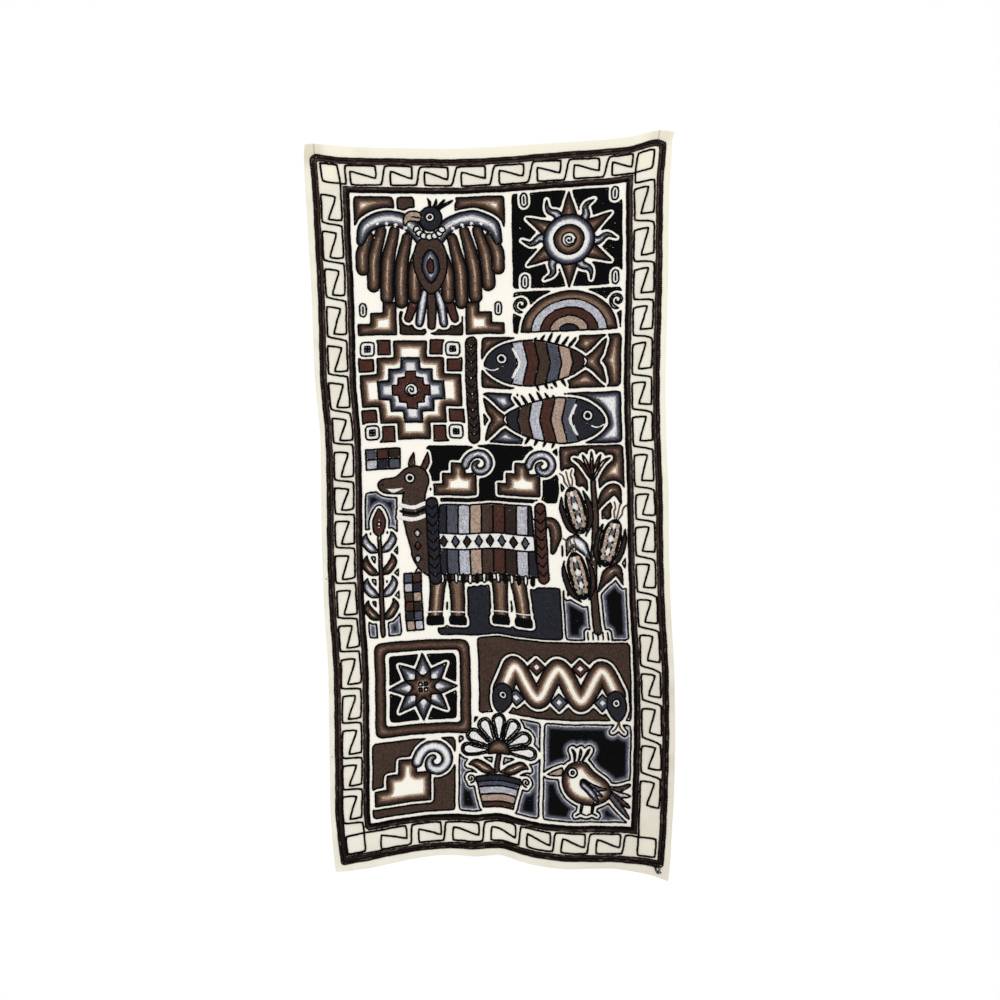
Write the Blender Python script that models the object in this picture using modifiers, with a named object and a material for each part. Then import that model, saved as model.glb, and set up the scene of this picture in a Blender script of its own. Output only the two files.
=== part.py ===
# Embroidered wall hanging: one upright length of hemmed wool cloth, hung by its top edge.
# Two frame-shaped bands of close yarn rows stand proud of its front, one near the hem and one round
# the picture field. The key pattern between them is a single thick yarn, laid along each side and
# sewn down, with a rounded square of the same yarn in each corner.
# Units are metres, +Z is up and the front faces -Y. The origin is the middle of the top edge,
# in the plane of the back, where the hanging meets what holds it.

from collections import namedtuple
from math import ceil, cos, pi

import bmesh
import bpy
from mathutils import Vector

# Flat size of the cloth, before it was hung
CLOTH_WIDTH = 0.580
CLOTH_LENGTH = 1.200

# Thickness of the bare cloth, of the turned hem and of the cloth with laid yarn on it
CLOTH_THICK = 0.0015
HEM_THICK = 0.0021
YARN_THICK = 0.0029

# Plain hem margin outside the outer band, on each side of the cloth
MARGIN_LEFT = 0.0105
MARGIN_RIGHT = 0.0110
MARGIN_TOP = 0.0190
MARGIN_BOTTOM = 0.0130

# Widths counted inwards from the margin
OUTER_BAND = 0.0110
KEY_LANE = 0.0365
INNER_BAND = 0.0110
BAND_SIDE = 0.0010

# The laid yarn of the key pattern, its clearance from the cloth and from the bands beside it, and
# the longest straight run of it that still follows the folds
LAID_RADIUS = 0.0013
LAID_GAP = 0.0008
BAND_CLEARANCE = 0.0014
LONGEST_RUN = 0.0200

# Key pattern: repeats on each side, and the plain stretches kept free at the start and the end of a
# side. The last key along the top reaches into the corner, up to the corner square.
KEY_REPEATS = {"left": 18, "right": 17, "top": 8, "bottom": 7}
KEY_PLAIN_START = {"left": 0.0095, "right": 0.0156, "top": 0.0073, "bottom": 0.0136}
KEY_PLAIN_END = {"left": 0.0134, "right": 0.0357, "top": -0.0045, "bottom": 0.0187}
KEY_CORNER_CUT = 0.0035
CORNER_SQUARE_CUT = 0.0045
LARGEST_CUT_SHARE = 0.4

# How finely the lane and the picture field are divided, and how far apart the cloth is probed
# for the way it faces
LANE_STEPS = 2
FIELD_STEPS_ACROSS = 18
FIELD_STEPS_DOWN = 34
PROBE = 0.0020

CREAM = (0.86, 0.81, 0.68, 1.0)
DARK_BROWN = (0.045, 0.032, 0.028, 1.0)
BLACK = (0.012, 0.011, 0.012, 1.0)

# The outline of the hung cloth. Share runs down the sides from the top, or across from the left. Place
# is where the edge would lie if the plain hem were even, and hem is how much further out it lies.
EdgePoint = namedtuple("EdgePoint", "share place hem")

LEFT_SIDE = (
    EdgePoint(0.000, -0.3050, -0.0056),
    EdgePoint(0.020, -0.3029, -0.0024),
    EdgePoint(0.050, -0.2996, 0.0000),
    EdgePoint(0.080, -0.2967, 0.0010),
    EdgePoint(0.130, -0.2944, 0.0001),
    EdgePoint(0.190, -0.2902, -0.0003),
    EdgePoint(0.260, -0.2872, -0.0010),
    EdgePoint(0.330, -0.2845, -0.0022),
    EdgePoint(0.400, -0.2768, -0.0024),
    EdgePoint(0.480, -0.2743, -0.0013),
    EdgePoint(0.560, -0.2734, -0.0020),
    EdgePoint(0.640, -0.2699, -0.0020),
    EdgePoint(0.720, -0.2632, -0.0016),
    EdgePoint(0.800, -0.2614, -0.0013),
    EdgePoint(0.870, -0.2600, -0.0014),
    EdgePoint(0.920, -0.2593, -0.0020),
    EdgePoint(0.960, -0.2540, -0.0006),
    EdgePoint(1.000, -0.2477, 0.0006),
)
RIGHT_SIDE = (
    EdgePoint(0.000, 0.3061, -0.0006),
    EdgePoint(0.015, 0.3042, -0.0032),
    EdgePoint(0.040, 0.3009, -0.0013),
    EdgePoint(0.070, 0.2978, -0.0010),
    EdgePoint(0.120, 0.2967, -0.0009),
    EdgePoint(0.190, 0.2962, -0.0012),
    EdgePoint(0.260, 0.2941, -0.0014),
    EdgePoint(0.330, 0.2920, -0.0019),
    EdgePoint(0.400, 0.2926, -0.0015),
    EdgePoint(0.480, 0.2963, -0.0011),
    EdgePoint(0.560, 0.2976, -0.0014),
    EdgePoint(0.640, 0.3006, -0.0015),
    EdgePoint(0.720, 0.3061, -0.0016),
    EdgePoint(0.800, 0.3075, -0.0011),
    EdgePoint(0.880, 0.3050, -0.0009),
    EdgePoint(0.940, 0.3016, -0.0019),
    EdgePoint(0.975, 0.2981, -0.0010),
    EdgePoint(1.000, 0.2931, 0.0010),
)
TOP_EDGE = (
    EdgePoint(0.000, 0.0084, -0.0052),
    EdgePoint(0.030, 0.0071, -0.0024),
    EdgePoint(0.070, 0.0036, -0.0002),
    EdgePoint(0.120, 0.0014, -0.0005),
    EdgePoint(0.200, 0.0000, -0.0014),
    EdgePoint(0.300, -0.0011, -0.0012),
    EdgePoint(0.400, -0.0013, -0.0012),
    EdgePoint(0.520, 0.0016, -0.0008),
    EdgePoint(0.640, 0.0077, -0.0023),
    EdgePoint(0.740, 0.0120, -0.0036),
    EdgePoint(0.820, 0.0157, -0.0034),
    EdgePoint(0.890, 0.0212, -0.0030),
    EdgePoint(0.955, 0.0310, -0.0044),
    EdgePoint(1.000, 0.0297, -0.0060),
)
BOTTOM_EDGE = (
    EdgePoint(0.000, -1.1913, -0.0054),
    EdgePoint(0.040, -1.1862, -0.0028),
    EdgePoint(0.120, -1.1756, -0.0006),
    EdgePoint(0.210, -1.1661, -0.0008),
    EdgePoint(0.300, -1.1614, -0.0019),
    EdgePoint(0.370, -1.1608, -0.0017),
    EdgePoint(0.420, -1.1624, -0.0008),
    EdgePoint(0.460, -1.1607, -0.0010),
    EdgePoint(0.500, -1.1598, -0.0011),
    EdgePoint(0.560, -1.1687, -0.0005),
    EdgePoint(0.620, -1.1750, -0.0006),
    EdgePoint(0.700, -1.1793, -0.0008),
    EdgePoint(0.770, -1.1808, -0.0020),
    EdgePoint(0.840, -1.1831, -0.0022),
    EdgePoint(0.900, -1.1871, -0.0010),
    EdgePoint(0.955, -1.1948, -0.0036),
    EdgePoint(1.000, -1.2046, -0.0046),
)

# One repeat of the key pattern. Along runs down a side or rightward, and across runs from 0 to 1
# over the lane: left to right on an upright side, bottom to top on a level one.
KeyPoint = namedtuple("KeyPoint", "along across")

KEY_REPEAT = (
    KeyPoint(0.00, 1.00),
    KeyPoint(0.86, 1.00),
    KeyPoint(0.86, 0.31),
    KeyPoint(0.20, 0.75),
    KeyPoint(0.17, 0.00),
    KeyPoint(0.94, 0.00),
)

# The corner squares lean a little, each its own way. Their corners are counted from the middle of the
# lane's corner, rightward and downward, from the upper left one round to the lower left one.
CORNER_SQUARES = {
    ("top", "left"): ((-0.0140, -0.0155), (0.0132, -0.0155), (0.0155, 0.0152), (-0.0122, 0.0139)),
    ("top", "right"): ((-0.0135, -0.0142), (0.0124, -0.0144), (0.0108, 0.0155), (-0.0155, 0.0155)),
    ("bottom", "left"): ((-0.0150, -0.0155), (0.0155, -0.0155), (0.0155, 0.0134), (-0.0155, 0.0134)),
    ("bottom", "right"): ((-0.0155, -0.0150), (0.0138, -0.0185), (0.0136, 0.0108), (-0.0155, 0.0141)),
}

# Soft folds stand forward of the wall, each along a line from one point of the hung cloth to another
Fold = namedtuple("Fold", "from_x from_z to_x to_z half_width depth_from depth_to")

FOLDS = (
    Fold(-0.110, -0.480, -0.175, -1.200, 0.105, 0.000, 0.022),
    Fold(0.130, -0.420, 0.120, -1.200, 0.125, 0.000, 0.026),
    Fold(0.265, -0.900, 0.300, -1.215, 0.070, 0.000, 0.014),
    Fold(-0.303, 0.010, -0.060, -0.400, 0.060, 0.009, 0.000),
    Fold(0.303, 0.020, 0.070, -0.420, 0.065, 0.010, 0.000),
    Fold(-0.152, -0.002, -0.150, -0.230, 0.115, 0.006, 0.000),
    Fold(0.158, 0.008, 0.150, -0.250, 0.120, 0.007, 0.000),
    Fold(-0.283, -0.330, -0.272, -0.640, 0.050, 0.007, 0.005),
    Fold(0.292, -0.360, 0.300, -0.860, 0.055, 0.005, 0.008),
)


def smooth_value(points, share, measure):
    """One measure of an edge at a share of its length, on one smooth curve through its points."""
    last = len(points) - 2
    k = next((i for i in range(last) if share < points[i + 1].share), last)
    near = [points[n] for n in (max(k - 1, 0), k, k + 1, min(k + 2, last + 1))]
    before, start, end, after = (point.share for point in near)
    value_before, value_start, value_end, value_after = (getattr(point, measure) for point in near)
    span = end - start
    t = (share - start) / span
    slope_in = (value_end - value_before) / (end - before) * span
    slope_out = (value_after - value_start) / (after - start) * span
    return (
        value_start * (2 * t**3 - 3 * t**2 + 1)
        + slope_in * (t**3 - 2 * t**2 + t)
        + value_end * (3 * t**2 - 2 * t**3)
        + slope_out * (t**3 - t**2)
    )


def hem_move(points, share, inward, margin):
    """How far the hem's own width moves a point outwards: wholly at its edge, not at all at the band."""
    return smooth_value(points, share, "hem") * max(1 - inward / margin, 0.0)


def fold_depth(fold, place):
    """How far one fold pushes a point of the cloth forward."""
    start = Vector((fold.from_x, fold.from_z))
    line = Vector((fold.to_x, fold.to_z)) - start
    t = min(max((place - start).dot(line) / line.length_squared, 0.0), 1.0)
    reach = min((place - start - line * t).length / fold.half_width, 1.0)
    depth = fold.depth_from * (1 - t) + fold.depth_to * t
    return depth * (1 + cos(pi * reach)) / 2


def hung_point(across, down):
    """Where a point of the flat cloth lies once it hangs, on the cloth's back."""
    u, v = across / CLOTH_WIDTH, down / CLOTH_LENGTH
    x = smooth_value(LEFT_SIDE, v, "place") * (1 - u) + smooth_value(RIGHT_SIDE, v, "place") * u
    z = smooth_value(TOP_EDGE, u, "place") * (1 - v) + smooth_value(BOTTOM_EDGE, u, "place") * v
    x -= hem_move(LEFT_SIDE, v, across, MARGIN_LEFT)
    x += hem_move(RIGHT_SIDE, v, CLOTH_WIDTH - across, MARGIN_RIGHT)
    z += hem_move(TOP_EDGE, u, down, MARGIN_TOP)
    z -= hem_move(BOTTOM_EDGE, u, CLOTH_LENGTH - down, MARGIN_BOTTOM)
    forward = sum(fold_depth(fold, Vector((x, z))) for fold in FOLDS)
    return Vector((x, -forward, z))


def band_edges(margin):
    """Distances from a cloth edge to the outer band's two edges and the inner band's two edges."""
    outer_in = margin + OUTER_BAND
    inner_out = outer_in + KEY_LANE
    return margin, outer_in, inner_out, inner_out + INNER_BAND


def side_lines(margin):
    """Grid lines from a cloth edge to the picture field, with a pair at each step in thickness."""
    half = BAND_SIDE / 2
    edges = band_edges(margin)
    lines = [0.0]
    for edge in edges:
        lines += [edge - half, edge + half]
    lane_start, lane_end = edges[1] + half, edges[2] - half
    lane = [lane_start + (lane_end - lane_start) * k / (LANE_STEPS + 1) for k in range(1, LANE_STEPS + 1)]
    return sorted(lines + lane)


def grid_lines(size, near_margin, far_margin, field_steps):
    """All grid lines along one direction of the flat cloth."""
    near = side_lines(near_margin)
    far = [size - line for line in reversed(side_lines(far_margin))]
    step = (far[0] - near[-1]) / field_steps
    field = [near[-1] + step * k for k in range(1, field_steps)]
    return near + field + far


def thickness(across, down):
    """Thickness of the hanging at a point of the flat cloth."""
    near_across, far_across = band_edges(MARGIN_LEFT), band_edges(MARGIN_RIGHT)
    near_down, far_down = band_edges(MARGIN_TOP), band_edges(MARGIN_BOTTOM)
    frames_round_it = sum(
        near_across[k] < across < CLOTH_WIDTH - far_across[k]
        and near_down[k] < down < CLOTH_LENGTH - far_down[k]
        for k in range(4)
    )
    return {0: HEM_THICK, 1: YARN_THICK, 3: YARN_THICK}.get(frames_round_it, CLOTH_THICK)


def new_material(name, colour, roughness):
    """A plain finish for one kind of yarn or cloth."""
    material = bpy.data.materials.new(name)
    material.use_nodes = True
    shader = material.node_tree.nodes["Principled BSDF"]
    shader.inputs["Base Color"].default_value = colour
    shader.inputs["Roughness"].default_value = roughness
    shader.inputs["Metallic"].default_value = 0.0
    return material


def flat_grid(lines_across, lines_down):
    """A flat grid mesh whose lines stand where the cloth's own lines do, top row last."""
    cells_across, cells_down = len(lines_across) - 1, len(lines_down) - 1
    grid = bmesh.new()
    bmesh.ops.create_grid(grid, x_segments=cells_across, y_segments=cells_down, size=0.5)
    for vertex in grid.verts:
        column = round((vertex.co.x + 0.5) * cells_across)
        row = cells_down - round((vertex.co.y + 0.5) * cells_down)
        vertex.co = (lines_across[column], lines_down[row], 0.0)
    return grid


def front_point(across, down, lift):
    """A point that stands off the hung cloth's back by a given lift, square to the cloth."""
    there = hung_point(across, down)
    rightward = hung_point(across + PROBE, down) - there
    downward = hung_point(across, down + PROBE) - there
    return there + downward.cross(rightward).normalized() * lift


def cut_corners(points, cut, closed):
    """The same route with each corner cut off by a short straight, so that laid yarn can turn there."""
    route = []
    for k, here in enumerate(points):
        ends = not closed and k in (0, len(points) - 1)
        for other in (points[k - 1], points[(k + 1) % len(points)]):
            away = other - here
            route.append(here + away * min(cut / away.length, LARGEST_CUT_SHARE))
        if ends:
            route[-2:] = [here]
    return route


def short_steps(points, closed):
    """The same route with points added where they stand too far apart to follow the cloth."""
    route = []
    for here, there in zip(points, points[1:] + points[:1]):
        steps = ceil((there - here).length / LONGEST_RUN)
        route += [here.lerp(there, k / steps) for k in range(steps)]
    return route if closed else route[: route.index(points[-1]) + 1]


def key_route(side):
    """The key pattern's line along one side, in flat cloth places."""
    lane_start = {
        "left": MARGIN_LEFT + OUTER_BAND,
        "right": CLOTH_WIDTH - MARGIN_RIGHT - OUTER_BAND - KEY_LANE,
        "top": MARGIN_TOP + OUTER_BAND,
        "bottom": CLOTH_LENGTH - MARGIN_BOTTOM - OUTER_BAND - KEY_LANE,
    }
    upright = side in ("left", "right")
    before, after = ("top", "bottom") if upright else ("left", "right")
    start = lane_start[before] + KEY_LANE + KEY_PLAIN_START[side]
    pitch = (lane_start[after] - start - KEY_PLAIN_END[side]) / KEY_REPEATS[side]
    inset = BAND_CLEARANCE + LAID_RADIUS
    room = KEY_LANE - 2 * inset
    points = []
    for repeat in range(KEY_REPEATS[side]):
        for along, across in KEY_REPEAT:
            run = start + (repeat + along) * pitch
            offset = lane_start[side] + inset + room * (across if upright else 1 - across)
            points.append(Vector((offset, run) if upright else (run, offset)))
    return cut_corners(points, KEY_CORNER_CUT, closed=False)


def corner_route(side_across, side_down):
    """The rounded square in one corner of the lane, in flat cloth places."""
    reach = OUTER_BAND + KEY_LANE / 2
    across = MARGIN_LEFT + reach if side_across == "left" else CLOTH_WIDTH - MARGIN_RIGHT - reach
    down = MARGIN_TOP + reach if side_down == "top" else CLOTH_LENGTH - MARGIN_BOTTOM - reach
    corners = [Vector((across + x, down + y)) for x, y in CORNER_SQUARES[side_down, side_across]]
    return cut_corners(corners, CORNER_SQUARE_CUT, closed=True)


def lay_yarn(collection, name, route, closed, material):
    """One thick yarn that lies along a route on the cloth's front."""
    lift = CLOTH_THICK + LAID_GAP + LAID_RADIUS
    places = short_steps(route, closed)
    curve = bpy.data.curves.new(name, "CURVE")
    curve.dimensions = "3D"
    curve.bevel_depth = LAID_RADIUS
    curve.bevel_resolution = 0
    curve.use_fill_caps = True
    curve.materials.append(material)
    line = curve.splines.new("POLY")
    line.use_cyclic_u = closed
    line.points.add(len(places) - 1)
    for point, place in zip(line.points, places):
        point.co = (*front_point(place.x, place.y, lift), 1.0)
    yarn = bpy.data.objects.new(name, curve)
    collection.objects.link(yarn)
    return yarn


def make_cloth(collection):
    """The cloth as one closed solid: a hung surface, thickened forward by the cloth and its yarn."""
    lines_across = grid_lines(CLOTH_WIDTH, MARGIN_LEFT, MARGIN_RIGHT, FIELD_STEPS_ACROSS)
    lines_down = grid_lines(CLOTH_LENGTH, MARGIN_TOP, MARGIN_BOTTOM, FIELD_STEPS_DOWN)
    grid = flat_grid(lines_across, lines_down)
    thicknesses = [thickness(vertex.co.x, vertex.co.y) for vertex in grid.verts]
    for face in grid.faces:
        centre = face.calc_center_median()
        face.material_index = 1 if thickness(centre.x, centre.y) == YARN_THICK else 0
        face.smooth = True
    for vertex in grid.verts:
        vertex.co = hung_point(vertex.co.x, vertex.co.y)

    mesh = bpy.data.meshes.new("cloth")
    grid.to_mesh(mesh)
    grid.free()
    cloth = bpy.data.objects.new("cloth", mesh)
    collection.objects.link(cloth)
    mesh.materials.append(new_material("ground_cloth", CREAM, 0.9))
    mesh.materials.append(new_material("band_yarn", DARK_BROWN, 0.85))

    yarn = cloth.vertex_groups.new(name="thickness")
    for index, value in enumerate(thicknesses):
        yarn.add([index], value / YARN_THICK, "REPLACE")
    shell = cloth.modifiers.new("thickness", "SOLIDIFY")
    shell.thickness = YARN_THICK
    shell.offset = 1.0
    shell.vertex_group = yarn.name
    return cloth


def main():
    for thing in list(bpy.data.objects):
        bpy.data.objects.remove(thing, do_unlink=True)
    collection = bpy.data.collections.new("embroidered_wall_hanging")
    bpy.context.scene.collection.children.link(collection)
    make_cloth(collection)
    black_yarn = new_material("laid_yarn", BLACK, 0.85)
    for side in KEY_REPEATS:
        lay_yarn(collection, f"key_yarn_{side}", key_route(side), False, black_yarn)
    for side_down in ("top", "bottom"):
        for side_across in ("left", "right"):
            route = corner_route(side_across, side_down)
            lay_yarn(collection, f"corner_yarn_{side_down}_{side_across}", route, True, black_yarn)


main()
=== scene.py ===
from collections import namedtuple
from math import cos, pi, radians, sin

import bmesh
import bpy
import numpy as np
from mathutils import Matrix, Vector


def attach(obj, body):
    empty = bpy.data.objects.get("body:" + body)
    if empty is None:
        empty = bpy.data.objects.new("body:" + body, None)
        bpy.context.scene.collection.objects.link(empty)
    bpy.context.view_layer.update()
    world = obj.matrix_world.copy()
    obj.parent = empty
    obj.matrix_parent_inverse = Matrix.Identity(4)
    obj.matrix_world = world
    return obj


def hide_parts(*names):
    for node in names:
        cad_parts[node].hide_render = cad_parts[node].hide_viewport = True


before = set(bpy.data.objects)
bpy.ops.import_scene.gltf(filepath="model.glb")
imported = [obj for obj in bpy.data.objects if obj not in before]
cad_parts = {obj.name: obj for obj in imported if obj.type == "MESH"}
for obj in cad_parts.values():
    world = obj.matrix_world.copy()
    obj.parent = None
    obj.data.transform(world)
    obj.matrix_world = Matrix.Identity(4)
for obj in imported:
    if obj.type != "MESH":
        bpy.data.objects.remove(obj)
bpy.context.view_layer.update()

# Millimetres are used for what is drawn flat on the cloth, metres for everything in the scene
mm = 0.001

# The hung cloth. Its outline and folds are the same as those of the solids.
hanging = {
    "width": 0.580,
    "length": 1.200,
    # share of the way down or across, place of the edge if the plain hem were even, and how much further
    # out it lies
    "leftSide": [(0, -0.3050, -0.0056), (0.02, -0.3029, -0.0024), (0.05, -0.2996, 0.0000),
                 (0.08, -0.2967, 0.0010), (0.13, -0.2944, 0.0001), (0.19, -0.2902, -0.0003),
                 (0.26, -0.2872, -0.0010), (0.33, -0.2845, -0.0022), (0.4, -0.2768, -0.0024),
                 (0.48, -0.2743, -0.0013), (0.56, -0.2734, -0.0020), (0.64, -0.2699, -0.0020),
                 (0.72, -0.2632, -0.0016), (0.8, -0.2614, -0.0013), (0.87, -0.2600, -0.0014),
                 (0.92, -0.2593, -0.0020), (0.96, -0.2540, -0.0006), (1, -0.2477, 0.0006)],
    "rightSide": [(0, 0.3061, -0.0006), (0.015, 0.3042, -0.0032), (0.04, 0.3009, -0.0013),
                  (0.07, 0.2978, -0.0010), (0.12, 0.2967, -0.0009), (0.19, 0.2962, -0.0012),
                  (0.26, 0.2941, -0.0014), (0.33, 0.2920, -0.0019), (0.4, 0.2926, -0.0015),
                  (0.48, 0.2963, -0.0011), (0.56, 0.2976, -0.0014), (0.64, 0.3006, -0.0015),
                  (0.72, 0.3061, -0.0016), (0.8, 0.3075, -0.0011), (0.88, 0.3050, -0.0009),
                  (0.94, 0.3016, -0.0019), (0.975, 0.2981, -0.0010), (1, 0.2931, 0.0010)],
    "topEdge": [(0, 0.0084, -0.0052), (0.03, 0.0071, -0.0024), (0.07, 0.0036, -0.0002),
                (0.12, 0.0014, -0.0005), (0.2, 0.0000, -0.0014), (0.3, -0.0011, -0.0012),
                (0.4, -0.0013, -0.0012), (0.52, 0.0016, -0.0008), (0.64, 0.0077, -0.0023),
                (0.74, 0.0120, -0.0036), (0.82, 0.0157, -0.0034), (0.89, 0.0212, -0.0030),
                (0.955, 0.0310, -0.0044), (1, 0.0297, -0.0060)],
    "bottomEdge": [(0, -1.1913, -0.0054), (0.04, -1.1862, -0.0028), (0.12, -1.1756, -0.0006),
                   (0.21, -1.1661, -0.0008), (0.3, -1.1614, -0.0019), (0.37, -1.1608, -0.0017),
                   (0.42, -1.1624, -0.0008), (0.46, -1.1607, -0.0010), (0.5, -1.1598, -0.0011),
                   (0.56, -1.1687, -0.0005), (0.62, -1.1750, -0.0006), (0.7, -1.1793, -0.0008),
                   (0.77, -1.1808, -0.0020), (0.84, -1.1831, -0.0022), (0.9, -1.1871, -0.0010),
                   (0.955, -1.1948, -0.0036), (1, -1.2046, -0.0046)],
    # soft folds: from x, from z, to x, to z, half width, depth at the start and at the end
    "folds": [(-0.110, -0.480, -0.175, -1.200, 0.105, 0.000, 0.022),
              (0.130, -0.420, 0.120, -1.200, 0.125, 0.000, 0.026),
              (0.265, -0.900, 0.300, -1.215, 0.070, 0.000, 0.014),
              (-0.303, 0.010, -0.060, -0.400, 0.060, 0.009, 0.000),
              (0.303, 0.020, 0.070, -0.420, 0.065, 0.010, 0.000),
              (-0.152, -0.002, -0.150, -0.230, 0.115, 0.006, 0.000),
              (0.158, 0.008, 0.150, -0.250, 0.120, 0.007, 0.000),
              (-0.283, -0.330, -0.272, -0.640, 0.050, 0.007, 0.005),
              (0.292, -0.360, 0.300, -0.860, 0.055, 0.005, 0.008)],
    # old fold lines and small creases, written the same way
    "creases": [(-0.290, -0.292, 0.295, -0.278, 0.014, 0.0013, 0.0011),
                (-0.280, -0.588, 0.298, -0.575, 0.016, -0.0012, -0.0014),
                (-0.266, -0.885, 0.305, -0.880, 0.014, 0.0012, 0.0013),
                (0.004, -0.010, 0.018, -1.165, 0.013, 0.0009, 0.0012),
                (-0.300, -0.060, -0.240, -0.150, 0.018, 0.0018, 0.0002),
                (0.300, -0.075, 0.235, -0.190, 0.020, 0.0020, 0.0002),
                (-0.250, -1.060, -0.190, -1.170, 0.020, 0.0004, 0.0022),
                (0.040, -1.165, 0.065, -1.060, 0.024, 0.0024, 0.0003),
                (0.290, -0.560, 0.245, -0.640, 0.018, 0.0018, 0.0002),
                (-0.276, -0.690, -0.225, -0.760, 0.018, -0.0016, 0.0000)],
    # how far the worked cloth draws up along the bands, how far in that reaches, and down and across the
    # cloth how long its waves are, how much they wander and how fast
    "pucker": 0.0007,
    "puckerReach": 0.030,
    "puckerDown": (0.047, 3, 9),
    "puckerAcross": (0.053, 2, 11),
    "probe": 0.002,  # how far off a second point lies that shows which way the cloth faces
}

# Layout from the cloth's edges inwards, as in the solids
layout = {
    "left": 10.5,
    "right": 11.0,
    "top": 19.0,
    "bottom": 13.0,
    "outerBand": 11.0,
    "keyLane": 36.5,
    "innerBand": 11.0,
}


def edgePlace(table, share, measure=1):
    # one smooth curve through an edge's points
    shares, places = np.array(table)[:, [0, measure]].T
    last = len(shares) - 1
    k = np.clip(np.searchsorted(shares, share, side="right") - 1, 0, last - 1)
    before, after = np.maximum(k - 1, 0), np.minimum(k + 2, last)
    span = shares[k + 1] - shares[k]
    t = (share - shares[k]) / span
    slopeIn = (places[k + 1] - places[before]) / (shares[k + 1] - shares[before]) * span
    slopeOut = (places[after] - places[k]) / (shares[after] - shares[k]) * span
    return (places[k] * (2 * t**3 - 3 * t**2 + 1) + slopeIn * (t**3 - 2 * t**2 + t)
            + places[k + 1] * (3 * t**2 - 2 * t**3) + slopeOut * (t**3 - t**2))


def swell(x, z, ridge):
    # how far one fold or crease lifts the cloth at each point
    fromX, fromZ, toX, toZ, halfWidth, depthFrom, depthTo = ridge
    lineX, lineZ = toX - fromX, toZ - fromZ
    t = np.clip(((x - fromX) * lineX + (z - fromZ) * lineZ) / (lineX**2 + lineZ**2), 0, 1)
    reach = np.minimum(np.hypot(x - fromX - t * lineX, z - fromZ - t * lineZ) / halfWidth, 1)
    return (depthFrom * (1 - t) + depthTo * t) * (1 + np.cos(pi * reach)) / 2


def hemMove(edge, share, inward, margin):
    # how far the hem's own width moves a point outwards: wholly at its edge, not at all at the band
    return edgePlace(hanging[edge], share, 2) * np.maximum(1 - inward / (margin * mm), 0)


def hungBack(across, down):
    # where flat points of the cloth hang, on its back; flat places are in metres
    u, v = across / hanging["width"], down / hanging["length"]
    x = edgePlace(hanging["leftSide"], v) * (1 - u) + edgePlace(hanging["rightSide"], v) * u
    z = edgePlace(hanging["topEdge"], u) * (1 - v) + edgePlace(hanging["bottomEdge"], u) * v
    x = x - hemMove("leftSide", v, across, layout["left"])
    x = x + hemMove("rightSide", v, hanging["width"] - across, layout["right"])
    z = z + hemMove("topEdge", u, down, layout["top"])
    z = z - hemMove("bottomEdge", u, hanging["length"] - down, layout["bottom"])
    forward = sum(swell(x, z, ridge) for ridge in hanging["folds"] + hanging["creases"])
    draw = 0
    for run, share, size, waves in ((down, u, "width", "puckerDown"), (across, v, "length", "puckerAcross")):
        wave, wander, rate = hanging[waves]
        near = np.exp(-np.minimum(share, 1 - share) * hanging[size] / hanging["puckerReach"])
        draw = draw + np.sin(run * 2 * pi / wave + wander * np.sin(run * rate)) * near
    return np.stack([x, -forward - hanging["pucker"] * (1 + draw), z], axis=-1)


def onCloth(across, down, lift):
    # points that stand off the cloth's back by a lift, and the way the cloth faces there
    probe = hanging["probe"]
    there = hungBack(across, down)
    rightward = hungBack(across + probe, down) - there
    downward = hungBack(across, down + probe) - there
    facing = np.cross(downward, rightward)
    facing /= np.linalg.norm(facing, axis=-1, keepdims=True)
    return there + facing * np.asarray(lift)[..., None], facing


# Flat needlework drawing, in millimetres, x rightward and y downward.
# A form says how deep inside its edge any point lies, and in which box it is.
Form = namedtuple("Form", "depth box")
Shape = namedtuple("Shape", "form rows centre")
Row = namedtuple("Row", "points yarn closed")

# Yarn from the edge of a shape inwards, and the yarn that fills its middle, if any
yarnRows = {
    "brownHalo": (["black", "umber", "brown", "chestnut", "caramel", "tan"], None),
    "brownShade": (["black", "umber", "brown", "chestnut"], "caramel"),
    "slimBrown": (["black", "umber", "chestnut", "tan"], None),
    "greyHalo": (["black", "charcoal", "slate", "grey", "silver"], "white"),
    "slimGrey": (["black", "slate", "silver"], "white"),
    "nightShade": (["black", "silver", "grey", "slate", "charcoal"], "jet"),
    "line": (["black"], None),
    "petal": (["black", "black"], "white"),
    "black": (["black"], "jet"),
    "tan": (["black"], "sand"),
    "bareWhite": ([], "white"),
    "plainTan": ([], "sand"),
    "plainGrey": ([], "grey"),
    # forms filled with one yarn
    **{yarn: (["black"], yarn)
       for yarn in ("charcoal", "slate", "silver", "olive", "russet", "umber", "white")},
}

sewing = {
    "outlineWidth": 3.4,
    "fillWidth": 1.95,
    "gridStep": 1.0,
    "curveSteps": 6,  # points for each stretch of a smooth curve
    "turnPoints": 22,  # points for each turn of a spiral
    "shortestRow": 3.0,
    # share of a row's width that a shape's middle needs before it is filled too
    "leastMiddle": 0.3,
    # gaps between rows get short stitches: how far inside a shape's edge they start, how far one reaches,
    # how long it is at least, how many places need one, and how much deeper its yarn is looked up
    "gapEdge": 1.3,
    "gapReach": 5.5,
    "gapStitch": 3.4,
    "gapPlaces": 3,
    "gapDeeper": 0.3,
    "fillPitch": 5.8,
    # how far a row runs under what is sewn over it, as a share of its width
    "tuck": {"outlined": 0.3, "plain": -0.1, "row": 0.1},
    "rowRoom": 2.0,
    # a stitch ends where its row turns this much within this length
    "cornerTurn": 0.5,
    "cornerSpan": 2.0,
}


def pointsAlong(points, runs, marks):
    # the places at some lengths along a line
    return np.stack([np.interp(marks, runs, points[:, 0]), np.interp(marks, runs, points[:, 1])], axis=-1)


def lineRuns(points):
    return np.concatenate([[0], np.cumsum(np.hypot(*np.diff(points, axis=0).T))])


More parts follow.
